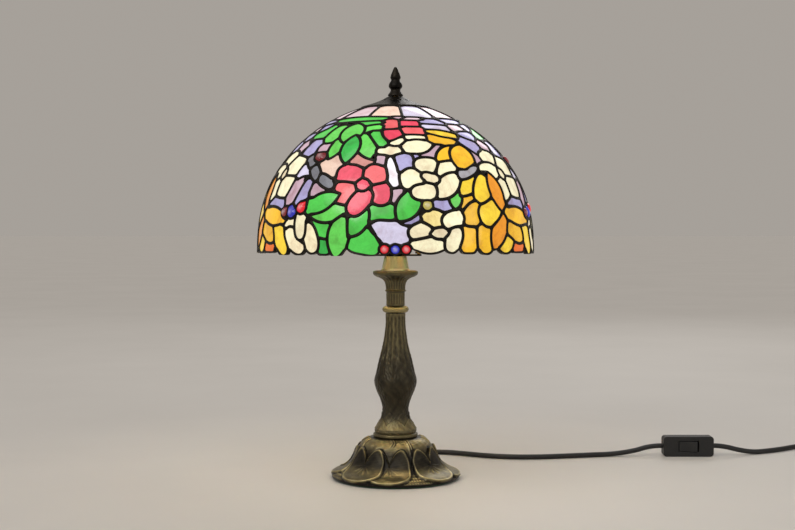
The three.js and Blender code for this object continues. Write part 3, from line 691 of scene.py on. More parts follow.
def column_relief(azimuth, height, radius):
    """Flutes that are cosine waves round the column, fading out over the swelling, and two rows of petals.

    The front petals stand over the gaps of the rear ones, and their outlines are darkened. The upper part of
    the column carries painted light, as if lit from above.
    """
    lift = 0.16 * lumps(azimuth, height, 11, 3.5) + 0.08 * lumps(azimuth, height, 12, 1.4)
    depth = step(height, 108, 134) * (1 - step(height, 178, 182.5))
    flute = (0.5 + 0.5 * np.cos(FLUTES * azimuth)) ** 0.8
    lift = lift - 0.95 * flute * depth * np.clip(radius / 16, 0.6, 1.1)
    front, front_inside = petal_relief(azimuth, height, radius, 55, 67, 0.0)
    rear, rear_inside = petal_relief(azimuth, height, radius, 57, 74, math.pi / PETALS)
    petals = np.where(front_inside > 0.3, front + 0.6, np.maximum(0.8 * rear, front))
    petals = petals * step(height, 54.2, 55.4)
    base_light = 1 - step(height, 58, 76)
    # Painted light: the upper part of the column is painted lighter, as if lit from above; its flute grooves
    # stay darker.
    painted_light_above = step(height, 112, 165)
    outline = hill(front_inside - 0.4, 0.3) + hill(rear_inside - 0.4, 0.3) * (1 - front_inside)
    rubbing_and_painted_light = (0.10 * petals + 0.30 - 0.40 * outline) * base_light
    rubbing_and_painted_light = rubbing_and_painted_light + (0.36 - 0.22 * flute * depth) * painted_light_above
    rubbing_and_painted_light = rubbing_and_painted_light + 0.05 * lumps(azimuth, height, 21, 9.0)
    return lift + petals * 0.7, rubbing_and_painted_light


def hole(high, low):
    """The inside of a casting that is bored straight through for the threaded tube."""
    return [(TUBE_HOLE, high), (TUBE_HOLE, low)]


def make_casting(name, node, outside_points, inside_points, rows, columns, relief_of, polish):
    """A hollow turned casting whose outside takes a relief worked out from azimuth, height and radius."""
    outside = flowing(outside_points, rows)
    azimuth = (np.arange(columns) / columns * FULL_TURN)[None, :]
    lift, rubbing_and_painted_light = relief_of(azimuth, outside[:, 1:], outside[:, :1])
    ends = np.minimum(np.arange(rows), np.arange(rows)[::-1])[:, None]
    lift = lift * step(ends, 0, 3)
    inside = np.asarray(inside_points, float)
    blank = np.zeros((len(inside), columns))
    part = turned(np.vstack([outside, inside]), columns, np.vstack([lift, blank]))
    relief = np.vstack([polish + 0 * lift + rubbing_and_painted_light, blank])
    add_piece(name, part, BRONZE, nodes=[node], values={"relief": relief.ravel()},
              sharp_angle=60)


def ribbed(count, depth, low, high):
    """The relief of upright ribs, cosine waves between two heights, on a slightly uneven casting."""
    def relief_of(azimuth, height, radius):
        """How far each point stands out and how bright it is; the radius makes no difference to ribs."""
        band = step(height, low - 0.8, low + 0.8) * (1 - step(height, high - 0.8, high + 0.8))
        rib = 0.5 + 0.5 * np.cos(count * azimuth)
        lift = 0.10 * lumps(azimuth, height, count, 2.0) + depth * (rib - 0.5) * band
        return lift, (rib - 0.5) * band * 0.22 + 0 * height
    return relief_of


def make_castings():
    """The column and its rings: piece, node, outside, inside, rows, columns, relief and polish."""
    neck = [(10.3, 192.3), (10.0, 195), (9.9, 200), (10.1, 205), (10.3, 207.2)]
    cup = [(16.4, 231.3), (15.0, 233), (14.4, 236), (13.0, 243), (12.1, 247)]
    cup_inside = [(TUBE_HOLE, 247), (TUBE_HOLE, 244.8), (10.2, 244), (12.6, 231.3)]
    bead = rounded([(11.2, 184), (14.0, 185.9), (14.8, 188), (14.0, 190.1), (11.2, 192)], 1.2, 4)[2:-2]
    ring = [(23.2, 46.3), (24.4, 47.0), (24.7, 48.2), (24.6, 49.6), (23.0, 50.8)]
    table = [
        ("column_relief_casting", "column_casting", COLUMN_OUTSIDE, COLUMN_INSIDE, 230, 320,
         column_relief, 0.26),
        ("neck_ribbed", "neck_casting", neck, hole(207.2, 192.3), 60, 240,
         ribbed(20, 0.5, 194, 205.5), 0.53),
        ("capital_ribbed", "capital_casting", CAPITAL_OUTSIDE, hole(231, 207.5), 110, 320,
         ribbed(24, 0.55, 211, 225.5), 0.48),
        ("socket_cup_cast", "socket_cup", cup, cup_inside, 50, 240, ribbed(1, 0.05, 232, 246), 1.05),
        ("bead_ring_cast", "bead_ring", bead, hole(192, 184), 40, 240, ribbed(1, 0.05, 185, 191), 0.70),
        ("foot_collar_cast", "foot_collar", ring, hole(50.8, 46.3), 30, 240, ribbed(1, 0.05, 47, 50), 0.50),
    ]
    for row in table:
        make_casting(*row)


# ---- turned pieces ------------------------------------------------------------------------------------

def thread(part_profile, low, high, pitch, depth, segments=120):
    """A turned part with a screw thread rolled into it: radius waves that climb one pitch each turn."""
    profile = np.asarray(part_profile, float)
    azimuth = np.arange(segments) / segments * FULL_TURN
    height = profile[:, 1:]
    wave = np.cos(FULL_TURN * height / pitch - azimuth)
    band = step(height, low, low + 1.5) * (1 - step(height, high - 1.5, high))
    return turned(profile, segments, 0.5 * depth * wave * band)


def dense(profile, gap=0.5):
    """More points along the profile's straight runs, so that a thread or a curve has something to move."""
    profile = np.asarray(profile, float)
    made = []
    for start, end in zip(profile[:-1], profile[1:]):
        count = max(1, int(np.linalg.norm(end - start) / gap))
        made.append(start + (end - start) * np.arange(count)[:, None] / count)
    return np.vstack(made + [profile[-1:]])


def tube_profile(bore, radius, low, high):
    """The loop of a straight tube."""
    return [(bore, low), (radius, low), (radius, high), (bore, high)]


def rod_profile(radius, low, high):
    """The outline of a straight rod, from the axis back to the axis."""
    return [(0, low), (radius, low), (radius, high), (0, high)]


def bores(count, radius, circle, low, high, start, segments):
    """Upright drills at even steps round a circle."""
    turns = (FULL_TURN * (k + start) / count for k in range(count))
    drill = turned(rod_profile(radius, low, high), segments)
    return [placed(drill, (circle * math.cos(turn), circle * math.sin(turn), 0)) for turn in turns]


def make_vented_cap():
    """The shade's cap: a thin hollowed cone, drilled with a ring of vents."""
    outside = flowing([(38.6, 410.6), (38.5, 411.5), (30.5, 414.2), (22, 417.0), (14.5, 420.2), (9.4, 423.0),
                       (3.8, 423.6)], 60)
    inside = flowing([(3.8, 422), (9, 421.4), (14, 418.6), (22, 415.4), (30, 412.7), (37, 410.6)], 48)
    cap = add_piece("vented_cap", turned(np.vstack([outside, inside])), DARK_METAL, "shade",
                    ["shade_cap"])
    drilled(cap, *bores(12, 1.7, 17, 405, 430, 0.5, 20))


def make_turned_pieces():
    """The plain turned pieces: name, node, material, slot, body, profile and how round the corners are."""
    finial = [(3.4, 424), (8.3, 424), (8.5, 425), (8.0, 426.2), (6.2, 428.6), (5.3, 430.4), (5.6, 431.8),
              (7.2, 433.6), (7.7, 435.4), (7.0, 438), (5.2, 440.8), (4.7, 442), (5.5, 443.4), (5.8, 445),
              (5.0, 447.8), (3.6, 451.2), (2.5, 454), (1.4, 456), (0, 456.5)]
    table = [
        ("felt_disc", "felt_pad", FELT, "felt", "lamp", rod_profile(69, 0, 2), 0.7),
        ("washer", "foot_washer", STEEL, "zinc_steel", "lamp", tube_profile(TUBE_HOLE, 14, 40.4, 42.2), 0.3),
        ("holder_lower", "holder_base", BAKELITE, "bakelite", "lamp",
         [(TUBE_HOLE, 249.4), (13, 249.4), (17, 252), (19.5, 257), (19.5, 262), (20.1, 262.4), (20.1, 264.4),
          (19.5, 264.8), (19.5, 266), (17.3, 266), (17.3, 258), (15, 254), (TUBE_HOLE, 252.6)], 0.5),
        ("holder_upper", "holder_shell", BAKELITE, "bakelite", "lamp",
         [(17.3, 266.3), (19.5, 266.3), (19.5, 298.6), (18.9, 300), (17.3, 300)], 0.5),
        ("holder_core", "holder_insulator", PORCELAIN, "porcelain", "lamp",
         rod_profile(16.5, 262.5, 269.7), 0.8),
        ("holder_tongue", "holder_contact", BRASS, "brass", "lamp", rod_profile(4, 270, 271.9), 0.4),
        ("bulb_tip", "bulb_contact", BRASS, "brass", "bulb", rod_profile(4.5, 272.2, 274.0), 0.5),
        ("finial_knob", "finial", DARK_METAL, "dark_bronze", "finial",
         [(0, 437), (3.4, 437)] + finial, 0.35),
        ("harp_top_stud", "harp_stud", BRASS, "brass", "lamp",
         [(0, 400), (8, 400), (8, 403.2), (3, 403.2), (3, 434.4), (2.4, 435), (0, 435)], 0.3),
    ]
    for name, node, material, slot, body, profile, size in table:
        part = turned(rounded(profile, size))
        add_piece(name, part, material, body, [node])
    make_vented_cap()
    for side, name in ((-1, "left"), (1, "right")):
        ferrule = [(2.7, 250), (4.2, 250), (4.2, 251.6), (3.7, 252.2), (3.7, 259.8), (4.2, 260.4),
                   (4.2, 262), (2.7, 262)]
        part = placed(turned(rounded(ferrule, 0.3), 48), (26 * side, 0, 0))
        add_piece(f"ferrule_{name}", part, BRASS, f"ferrule_{name}", [f"harp_ferrule_{name}"])


def make_inner_metal():
    """The threaded tube, its nut, the screw shell, the bulb's cap and the wheel that carries the glass."""
    tube_wall = dense([(4.9, 30.4), (4.9, 255.6)], 0.4)
    tube_loop = np.vstack([[(3.7, 30)], [(4.5, 30)], tube_wall, [(4.5, 256)], [(3.7, 256)]])
    add_piece("threaded_tube_rolled", thread(tube_loop, 30, 256, 1.0, 0.25, 32), STEEL, "lamp",
              ["threaded_tube"])
    hexagon = [(9 * math.cos(k * math.pi / 3), 9 * math.sin(k * math.pi / 3)) for k in range(6)]
    nut = add_piece("hex_nut", prism(hexagon, 34.5, 40), STEEL, "lamp", ["foot_nut"])
    drilled(nut, turned(rod_profile(TUBE_HOLE, 30, 45), 48))
    bevelled(nut, 0.5)
    outer = dense([(14.0, 270.2), (14.0, 296.8)], 0.35)
    inner = dense([(13.3, 296.8), (13.3, 270.2)], 0.35)
    shell = thread(np.vstack([outer, inner]), 270, 297, 3.6, 0.6)
    add_piece("screw_shell_rolled", shell, BRASS, "lamp", ["holder_screw_shell"])
    cap = np.vstack([[(0, 274.3)], [(9, 274.3)], [(12.2, 277)], dense([(12.7, 278), (12.7, 299.2)], 0.35),
                     [(12.4, 300)], [(0, 300)]])
    add_piece("bulb_cap_rolled", thread(cap, 277, 299, 3.6, 0.55), STEEL, "bulb", ["bulb_cap"])
    plate = rounded(tube_profile(3.8, 40, 403.5, 405.5), 0.5)
    wheel = add_piece("wheel_plate", turned(plate), DARK_METAL, "shade", ["shade_wheel"])
    drilled(wheel, *bores(6, 6, 25, 400, 409, 0, 40))


def make_harp():
    """The wire loop, its rounded saddle bar and the two prongs it stands on."""
    half = [(26, 252.5), (26, 264), (26.2, 277), (33, 292), (45, 312), (48, 333), (44, 358), (34, 380),
            (17, 394.5)]
    points = [(x, 0, z) for x, z in half] + [(0, 0, 397.9)] + [(-x, 0, z) for x, z in half[::-1]]
    add_piece("harp_loop", wire(flowing(points, 150), 1.8), BRASS, "lamp", ["harp_wire"])
    arc = np.linspace(-math.pi / 2, math.pi / 2, 17)
    right = np.stack([23 + 6 * np.cos(arc), 6 * np.sin(arc)], -1)
    outline = np.vstack([right, -right])
    bar = add_piece("saddle_bar", prism(outline, 247.3, 249.1), DARK_METAL, "lamp", ["harp_saddle"])
    drilled(bar, turned(rod_profile(TUBE_HOLE, 240, 255), 48))
    bevelled(bar, 0.35)
    for side, name in ((-1, "left"), (1, "right")):
        prong = placed(turned(rounded(rod_profile(2, 249.0, 252.2), 0.3), 32), (26 * side, 0, 0))
        add_piece(f"saddle_prong_{name}", prong, BRASS, "lamp")


def make_bulb():
    """A thin pear-shaped envelope, open at its neck."""
    outside = flowing([(12.4, 300.3), (13.4, 308), (19, 319), (26.6, 331), (30, 347), (27, 361), (17, 373),
                       (7, 376.6), (0.02, 377)], 70)
    inside = flowing([(0.02, 375.8), (6.6, 375.4), (16, 371.9), (25.8, 360.2), (28.8, 347), (25.4, 331.4),
                      (17.8, 319.4), (12.2, 308), (11.3, 300.3)], 60)
    add_piece("bulb_glass", turned(np.vstack([outside, inside])), frosted_bulb(), "bulb",
              ["bulb_envelope"])


# ---- switch, plug and the pieces on the cord ----------------------------------------------------------

SWITCH_PLACE = (356, 140, 12.35)
SWITCH_LENGTH, SWITCH_HEIGHT, SWITCH_DEPTH, SWITCH_WALL = 61, 24.5, 16, 1.6
SWITCH_CORNER, SWITCH_SEAM = 4, 0.15  # the seam is half the gap between the cover and the base
KEY_TILT = math.radians(-7)
GROMMET_PLACE = (0, 0, 8)
PLUG_PLACE = (626, 156, 6.6)


def rounded_box(length, height, corner, low, high, steps=8):
    """A rounded rectangle carried along Z."""
    quarter = np.linspace(0, math.pi / 2, steps)
    corners = []
    for turn, (x, y) in enumerate([(1, 1), (-1, 1), (-1, -1), (1, -1)]):
        angle = quarter + turn * math.pi / 2
        centre = np.array([x * (length / 2 - corner), y * (height / 2 - corner)])
        corners.append(centre + corner * np.stack([np.cos(angle), np.sin(angle)], -1))
    return prism(np.vstack(corners), low, high)


def on_switch(part):
    """A part drawn with Z out of the switch's front face, laid so that the face looks along -Y."""
    points, faces = part
    points = np.stack([points[:, 0], -points[:, 2], points[:, 1]], -1)
    return placed((points, faces), SWITCH_PLACE)


def switch_shell(inset, corner, low, high):
    """The switch's outline, drawn in by the inset."""
    box = rounded_box(SWITCH_LENGTH - 2 * inset, SWITCH_HEIGHT - 2 * inset, corner, low, high)
    return on_switch(box)


def make_switch_key():
    """The rocker's key: an outline whose front edge is a shallow parabola, carried upwards and tilted."""
    across = np.linspace(-11, 11, 41)
    dish = 4.9 + 1.1 * (across / 11) ** 2
    outline = np.vstack([[(-9.5, -1), (9.5, -1)], np.stack([across, dish], -1)[::-1]])
    points, faces = prism(outline, -6.1, 6.1)
    facing_front = points * [1, -1, 1], [face[:, ::-1] for face in faces]
    x, y, z = SWITCH_PLACE
    key = add_piece("rocker_key", placed(facing_front, (x, y - 3, z), turn=KEY_TILT), PLASTIC, "rocker",
                    ["switch_rocker"])
    return bevelled(key, 0.5, 3)


def make_switch():
    """The cover with its window, the base with its screw hole, both hollow, and the key between them."""
    half, wall = SWITCH_DEPTH / 2, SWITCH_WALL
    cover = add_piece("switch_cover_moulded", switch_shell(0, SWITCH_CORNER, SWITCH_SEAM, half), PLASTIC,
                      "lamp", ["switch_cover"])
    window = on_switch(rounded_box(24.4, 13, 0.8, half - 4, half + 2))
    drilled(cover, switch_shell(wall, SWITCH_CORNER - 1, -1, half - wall), window)
    bevelled(cover, 0.7, 4)
    base = add_piece("switch_base_moulded", switch_shell(0, SWITCH_CORNER, -half, -SWITCH_SEAM), PLASTIC,
                     "lamp", ["switch_base"])
    screw_hole = on_switch(placed(turned(rod_profile(3.1, -half - 2, -half + 3), 40), (21, 0, 0)))
    drilled(base, switch_shell(wall, SWITCH_CORNER - 1, wall - half, 1), screw_hole)
    bevelled(base, 0.7, 4)
    return cover, base, make_switch_key()


def tapered_tail(head, first, radius, taper, end):
    """A flexible cord guard: its head's outline, seven grooved rings that grow thinner, and its tip."""
    outline = list(head)
    for ring in range(7):
        start = first + 3.1 * ring
        size = radius - taper * ring
        outline += [(size, start), (size, start + 2), (size - 0.5, start + 2.4), (size - 0.5, start + 3)]
    return turned(rounded(outline + [(3.7, end), (0, end)], 0.25), 48)


def make_plug():
    """The plug's guard, its body drilled with grip grooves on both faces, and its two pins."""
    guard = placed(tapered_tail([(0, 0.3), (5, 0.3), (5, 1.2)], 2, 4.9, 0.15, 25), PLUG_PLACE, along_y=True)
    guard = add_piece("plug_tail", guard, JACKET, "lamp", ["plug_relief"])
    side = flowing([(6, 0), (8.6, -3.6), (11, -10), (11.9, -15), (12.5, -20), (12.5, -36)], 40)
    outline = np.vstack([side[::-1], side * [-1, 1]])
    body = add_piece("plug_moulded", placed(prism(outline, -6.5, 6.5), PLUG_PLACE), PLASTIC, "lamp",
                     ["plug_body"])
    x, y, z = PLUG_PLACE
    grips = [placed(rounded_box(17, 1.1, 0.5, depth, depth + 2), (x, y - 16 - 3.2 * k, z))
             for k in range(5) for depth in (5.9, -7.9)]
    drilled(body, *grips)
    bevelled(body, 1.1, 4)
    pieces = [guard, body]
    for beside, name in ((-9.3, "left"), (9.3, "right")):
        pin = turned(rounded([(0, -55.3), (1.4, -55.3), (2, -54.2), (2, -36.3), (0, -36.3)], 0.4), 32)
        pin = placed(pin, (x + beside, y, z), along_y=True)
        pieces.append(add_piece(f"pin_{name}", pin, STEEL, "lamp", [f"plug_pin_{name}"]))
    return pieces


def make_coil_tie():
    """The tie: a flat inverted U that stands over the coil's turns."""
    band = [(-10.6, 0.2), (-9.4, 0.2), (-9.4, 12.5), (9.4, 12.5), (9.4, 0.2), (10.6, 0.2), (10.6, 13.7),
            (-10.6, 13.7)]
    points, faces = prism(band, -2.5, 2.5)
    points = np.stack([points[:, 0] + 33, -points[:, 2], points[:, 1]], -1)
    tie = placed((points, faces), (*COIL_CENTRE, 0), turn=math.radians(-135))
    return bevelled(add_piece("coil_clip", tie, PLASTIC, "lamp", ["coil_tie"]), 0.5, 3)


def make_cord_fittings():
    """The grommet at the foot, and what is on the far cord: the plug's pieces and the coil's tie."""
    head = [(0, 44), (5.5, 44), (5.5, 47.2), (4.1, 47.2), (4.1, 72), (5.4, 72), (5.4, 75)]
    grommet = placed(tapered_tail(head, 76, 4.75, 0.16, 98), GROMMET_PLACE, along_y=True)
    grommet = add_piece("foot_grommet", grommet, JACKET, "lamp", ["cord_relief"])
    return grommet, [*make_plug(), make_coil_tie()]


# ---- shade --------------------------------------------------------------------------------------------

DOME_RADIUS, DOME_RIM, DOME_RISE = 152, 252, 165
DOME_POWER, DOME_ROOT = 2.35, 0.6
SHEET = 2.8  # thickness of the glass
PILLOW = 0.35  # how far a pane swells out in its middle
# A jewel's glint is a painted highlight.
JEWEL_SWELL, JEWEL_GLINT, GLINT_WIDTH = 3.4, 0.32, 2.2  # how far out, how white and how wide
REPEATS = 3
REPEAT_ANGLE = 360 / REPEATS
DIRECTIONS = 56  # points round a pane's edge
RAY_STEPS, RAY_SPARE = 240, 20  # steps along each ray, and how far it runs past the pane's own outline
NEIGHBOUR_REACH = 75  # only panes whose middles are nearer than this are weighed against each other
LEAD_HALF = 1.85  # from the middle of a solder line to the glass it shows
LEAD_HEIGHT = 1.35
LEAD_OVERLAP = 0.55  # how far each half of a solder line goes past its middle
GLASS_UNDER_LEAD = 0.7  # from the middle of a solder line to the hidden edge of the glass
BULB_HEIGHT = 345
BULB_REFERENCE = 140.0  # a point at this distance from the bulb keeps its own tint
RIM_CUT, CROWN_EDGE = 2.5, 214.8
WEB_LOW, WEB_HIGH = 18, 213.5  # the web that fills the corners between panes keeps clear of both edges
WEB_OUTSIDE, WEB_INSIDE = -1.2, -1.8
CROWN_TINTS = ["blush", "peach", "mist", "blush"]
CROWN_FIRST, CROWN_STEP = -39, 30  # degrees round
CROWN_MIDDLE, CROWN_LENGTH, CROWN_WIDTH = 195.5, 31, 28

# Tints of the glass when lit, as sRGB.
TINTS = {
    "green": (0.3, 0.79, 0.3), "leaf": (0.4, 0.85, 0.34), "deep_green": (0.2, 0.7, 0.28),
    "pink": (0.92, 0.27, 0.38), "salmon": (0.95, 0.4, 0.42), "ivory": (1, 0.98, 0.82),
    "cream": (0.99, 0.95, 0.79), "butter": (0.98, 0.91, 0.6), "yellow": (0.99, 0.85, 0.22),
    "amber": (0.99, 0.77, 0.15), "orange": (0.97, 0.62, 0.12), "flame": (0.94, 0.45, 0.12),
    "lilac": (0.66, 0.64, 0.82), "mist": (0.84, 0.82, 0.92), "mauve": (0.78, 0.66, 0.72),
    "rose": (0.8, 0.54, 0.5), "smoke": (0.47, 0.48, 0.51), "clear": (0.97, 0.96, 0.99),
    "blush": (0.88, 0.78, 0.82), "peach": (0.93, 0.81, 0.73), "ruby": (0.86, 0.05, 0.13),
    "sapphire": (0.13, 0.18, 0.74), "garnet": (0.45, 0.02, 0.08), "citrine": (0.75, 0.72, 0.35),
    "pewter": (0.66, 0.66, 0.68),
}

# One repeat's panes by motif: layer, tint, form, degrees round, mm up the dome, length, width, tilt.
PANES = {
    "pink_flower": [
        (4, "pink", "round", -13.6, 76, 15, 14, 0), (2, "pink", "oval", -20.4, 89, 29, 22, -6),
        (2, "salmon", "oval", -8.6, 88.5, 25, 22, -25), (2, "pink", "oval", -5.7, 65.5, 21, 24, 0),
        (3, "pink", "oval", -14.4, 57.5, 33, 21, 52), (2, "salmon", "oval", -21.4, 67.5, 25, 27, -15),
        (2, "salmon", "oval", -3.8, 162, 22, 18, 80), (2, "pink", "oval", -2.6, 142.5, 21, 20, -20),
        (2, "pink", "block", 10.4, 163.5, 21, 13, 0), (2, "salmon", "block", 11.8, 150, 23, 14, -3),
    ],
    "ivory_flower": [
        (4, "cream", "oval", 15.2, 84, 20, 11, -20), (2, "ivory", "oval", 7, 83, 24, 23, -50),
        (2, "ivory", "oval", 14.5, 99, 28, 20, 0), (2, "ivory", "oval", 23.3, 95.5, 27, 20, 25),
        (3, "ivory", "leaf", 22.6, 75.5, 42, 22, 45), (3, "ivory", "oval", 12.2, 68, 30, 18, 3),
        (4, "cream", "round", 57.2, 91, 12, 14, 0), (2, "ivory", "oval", 53, 111.5, 29, 20, 12),
        (2, "ivory", "oval", 64.2, 101, 30, 25, -5), (3, "ivory", "oval", 48.4, 94, 32, 22, 3),
        (2, "ivory", "oval", 53.8, 73.5, 20, 27, -8), (2, "ivory", "oval", 63.6, 76, 28, 26, 0),
        (1, "ivory", "oval", 11.8, 137.2, 22, 9, 0), (2, "ivory", "leaf", 11.2, 124, 36, 21, 8),
        (2, "ivory", "oval", 1, 131, 16, 11, 38), (2, "ivory", "oval", -3, 118.3, 27, 12, 5),
    ],
    "ivory_buds": [
        (4, "cream", "leaf", 17.2, 25.5, 21, 12, 5), (2, "cream", "oval", 9.6, 27, 25, 17, 10),
        (2, "butter", "leaf", 15.4, 40.5, 30, 19, -10), (3, "ivory", "oval", 23, 39.5, 26, 18, 20),
        (3, "ivory", "oval", 23, 19, 29, 18, 68), (2, "ivory", "leaf", 12.8, 13.5, 44, 18, -3),
        (1, "cream", "block", -46.2, 36.5, 16, 14, -10), (3, "ivory", "oval", -40.6, 33, 16, 30, 6),
        (2, "cream", "oval", -43.4, 17.5, 36, 22, -38), (2, "cream", "oval", -35.2, 20.5, 34, 20, -68),
    ],
    "green_leaves": [
        (3, "green", "leaf", -31.4, 57, 46, 20, 24), (2, "leaf", "leaf", -26.8, 46.5, 48, 20, 10),
        (1, "green", "block", -30.6, 31, 32, 21, -25), (1, "deep_green", "block", -28.6, 12.5, 15, 19, 0),
        (2, "leaf", "leaf", -22.4, 22.5, 48, 24, 82), (2, "green", "leaf", -14.8, 36, 36, 20, 52),
        (1, "green", "block", -11.8, 17.5, 35, 28, -10), (1, "green", "block", -5.4, 46, 29, 19, 4),
        (2, "green", "leaf", 5.3, 54, 40, 24, 56), (2, "leaf", "leaf", 25, 61.5, 24, 15, 80),
        (1, "green", "leaf", -50, 150, 44, 20, 36), (2, "leaf", "oval", -39.8, 148, 36, 21, 72),
        (3, "leaf", "leaf", -28, 147, 36, 27, 90), (2, "leaf", "leaf", -32.4, 125, 36, 18, 80),
        (4, "deep_green", "leaf", -24, 122, 42, 21, 90), (2, "leaf", "leaf", -15.8, 127, 46, 22, -66),
        (2, "green", "leaf", -10.2, 137.5, 38, 17, -60), (2, "leaf", "leaf", -15.4, 153, 34, 15, 25),
        (2, "green", "leaf", -24.5, 164, 62, 10, 2), (3, "green", "leaf", -27, 174, 66, 11, 0),
    ],
    "amber_leaves": [
        (4, "orange", "leaf", 47.6, 70, 46, 21, 97), (2, "yellow", "leaf", 34.6, 79.5, 52, 19, 38),
        (3, "yellow", "oval", 39.8, 73, 38, 23, 58), (1, "amber", "block", 30, 58.5, 19, 20, 10),
        (2, "amber", "oval", 32.6, 45.5, 31, 22, 38), (3, "yellow", "oval", 41.6, 46, 35, 28, 15),
        (2, "amber", "block", 29.4, 18.5, 20, 28, 0), (2, "amber", "oval", 37.8, 19.5, 23, 32, 0),
        (3, "orange", "leaf", 45.4, 28, 46, 23, 62), (3, "amber", "leaf", 60, 43.5, 62, 20, -7),
        (2, "amber", "oval", 56.8, 26, 36, 20, -20), (2, "yellow", "oval", 67.4, 19, 40, 20, -55),
        (2, "yellow", "leaf", 49.8, 13, 28, 18, 20), (1, "flame", "block", 58.6, 10, 26, 11, 0),
        (2, "amber", "leaf", 26.6, 114.5, 40, 18, 35), (3, "amber", "leaf", 34.6, 109, 40, 30, 75),
        (1, "yellow", "leaf", 28.8, 145, 38, 15, -16), (1, "amber", "block", 27, 134.5, 31, 16, -15),
    ],
    "lilac_field": [
        (1, "mist", "block", -1.8, 26, 42, 26, -12), (1, "lilac", "oval", 6.6, 42, 30, 14, 35),
        (1, "lilac", "block", 20, 54.5, 25, 14, 0), (1, "lilac", "block", 4.4, 101.5, 20, 22, 0),
        (1, "lilac", "block", 10.2, 109, 9, 9, 0), (1, "mauve", "block", 19, 116, 34, 16, 18),
        (1, "mauve", "oval", 41, 114.5, 32, 16, -58), (1, "lilac", "oval", 45.2, 127.5, 26, 22, -40),
        (3, "pewter", "oval", 34.2, 92.5, 34, 14, 25), (3, "clear", "oval", -1.2, 90, 36, 11, 100),
        (1, "mauve", "oval", 0.6, 63.5, 15, 17, 0), (1, "mauve", "block", -7.2, 105, 12, 14, 0),
        (1, "rose", "block", -15.4, 105, 28, 16, -12), (1, "peach", "oval", -30.8, 99.5, 32, 29, -30),
        (1, "mauve", "oval", -40.6, 124, 22, 13, 0), (1, "lilac", "oval", -52.4, 127, 32, 26, -15),
        (1, "mist", "oval", -44.6, 93, 23, 20, 20), (2, "mauve", "leaf", -47.8, 71, 38, 18, 60),
        (2, "lilac", "leaf", -41.6, 69, 38, 15, 66), (1, "mauve", "leaf", -32.6, 71.5, 32, 20, 0),
        (1, "lilac", "oval", -59.3, 55.5, 36, 16, 0), (3, "smoke", "oval", -43.4, 104.5, 20, 12, -52),
        (3, "smoke", "oval", -38.6, 91.5, 25, 12.5, -52), (3, "smoke", "oval", -31.4, 80.5, 27, 12.5, -32),
        (1, "mauve", "oval", 1.6, 176, 12, 6, 0), (1, "blush", "oval", 12.5, 173, 20, 6, 0),
        (1, "lilac", "block", 28.5, 166.5, 30, 8, -2), (1, "mist", "block", 28, 156.5, 32, 12, -5),
        (1, "blush", "oval", 47.4, 158, 24, 11, 0), (1, "lilac", "oval", 50, 171, 30, 9, 0),
        (1, "mauve", "oval", 61, 128, 28, 20, 10), (1, "lilac", "oval", 60, 160, 20, 12, 0),
        (1, "lilac", "oval", 50, 144, 20, 14, 0),
    ],
    "jewels": [
        (5, "ruby", "round", -4.1, 9.3, 10.6, 10.6, 0), (5, "sapphire", "round", 0, 9.1, 10.6, 10.6, 0),
        (5, "ruby", "round", 4.1, 9.3, 10.6, 10.6, 0), (5, "ruby", "round", -41, 52, 13.5, 13.5, 0),
        (5, "sapphire", "round", -46.4, 47, 14, 13, 0), (5, "garnet", "round", -51, 47, 11, 11, 0),
        (5, "garnet", "round", -39.6, 111, 17, 13, -10), (5, "citrine", "round", 12.6, 53.5, 11, 11, 0),
    ],
}

# The meridian from below the rim up to the crown: height, radius and length along it. The radius is the
# rim's times one less a power of the share of the rise, all to a second power.
MERIDIAN_HEIGHT = np.linspace(248, 411.5, 6000)
MERIDIAN_SHARE = np.clip((MERIDIAN_HEIGHT - DOME_RIM) / DOME_RISE, 0, 1)
MERIDIAN_RADIUS = DOME_RADIUS * (1 - MERIDIAN_SHARE ** DOME_POWER) ** DOME_ROOT
MERIDIAN_STEPS = np.hypot(np.diff(MERIDIAN_HEIGHT), np.diff(MERIDIAN_RADIUS))
MERIDIAN_RISE = np.concatenate([[0], np.cumsum(MERIDIAN_STEPS)])


def dome_radius(rise):
    """The dome's radius so far up its meridian."""
    return np.interp(rise, MERIDIAN_RISE, MERIDIAN_RADIUS)


def dome_point(azimuth, rise, out=0.0):
    """A point on the dome: so far round in degrees, so far up the meridian, and so far out of its face."""
    radius, height = dome_radius(rise), np.interp(rise, MERIDIAN_RISE, MERIDIAN_HEIGHT)
    across = dome_radius(rise + 1) - dome_radius(rise - 1)
    upward = (np.interp(rise + 1, MERIDIAN_RISE, MERIDIAN_HEIGHT)
              - np.interp(rise - 1, MERIDIAN_RISE, MERIDIAN_HEIGHT))
    length = np.hypot(across, upward)
    radius = radius + out * upward / length
    height = height - out * across / length
    turn = np.radians(azimuth)
    return np.stack([radius * np.sin(turn), -radius * np.cos(turn), height], -1)


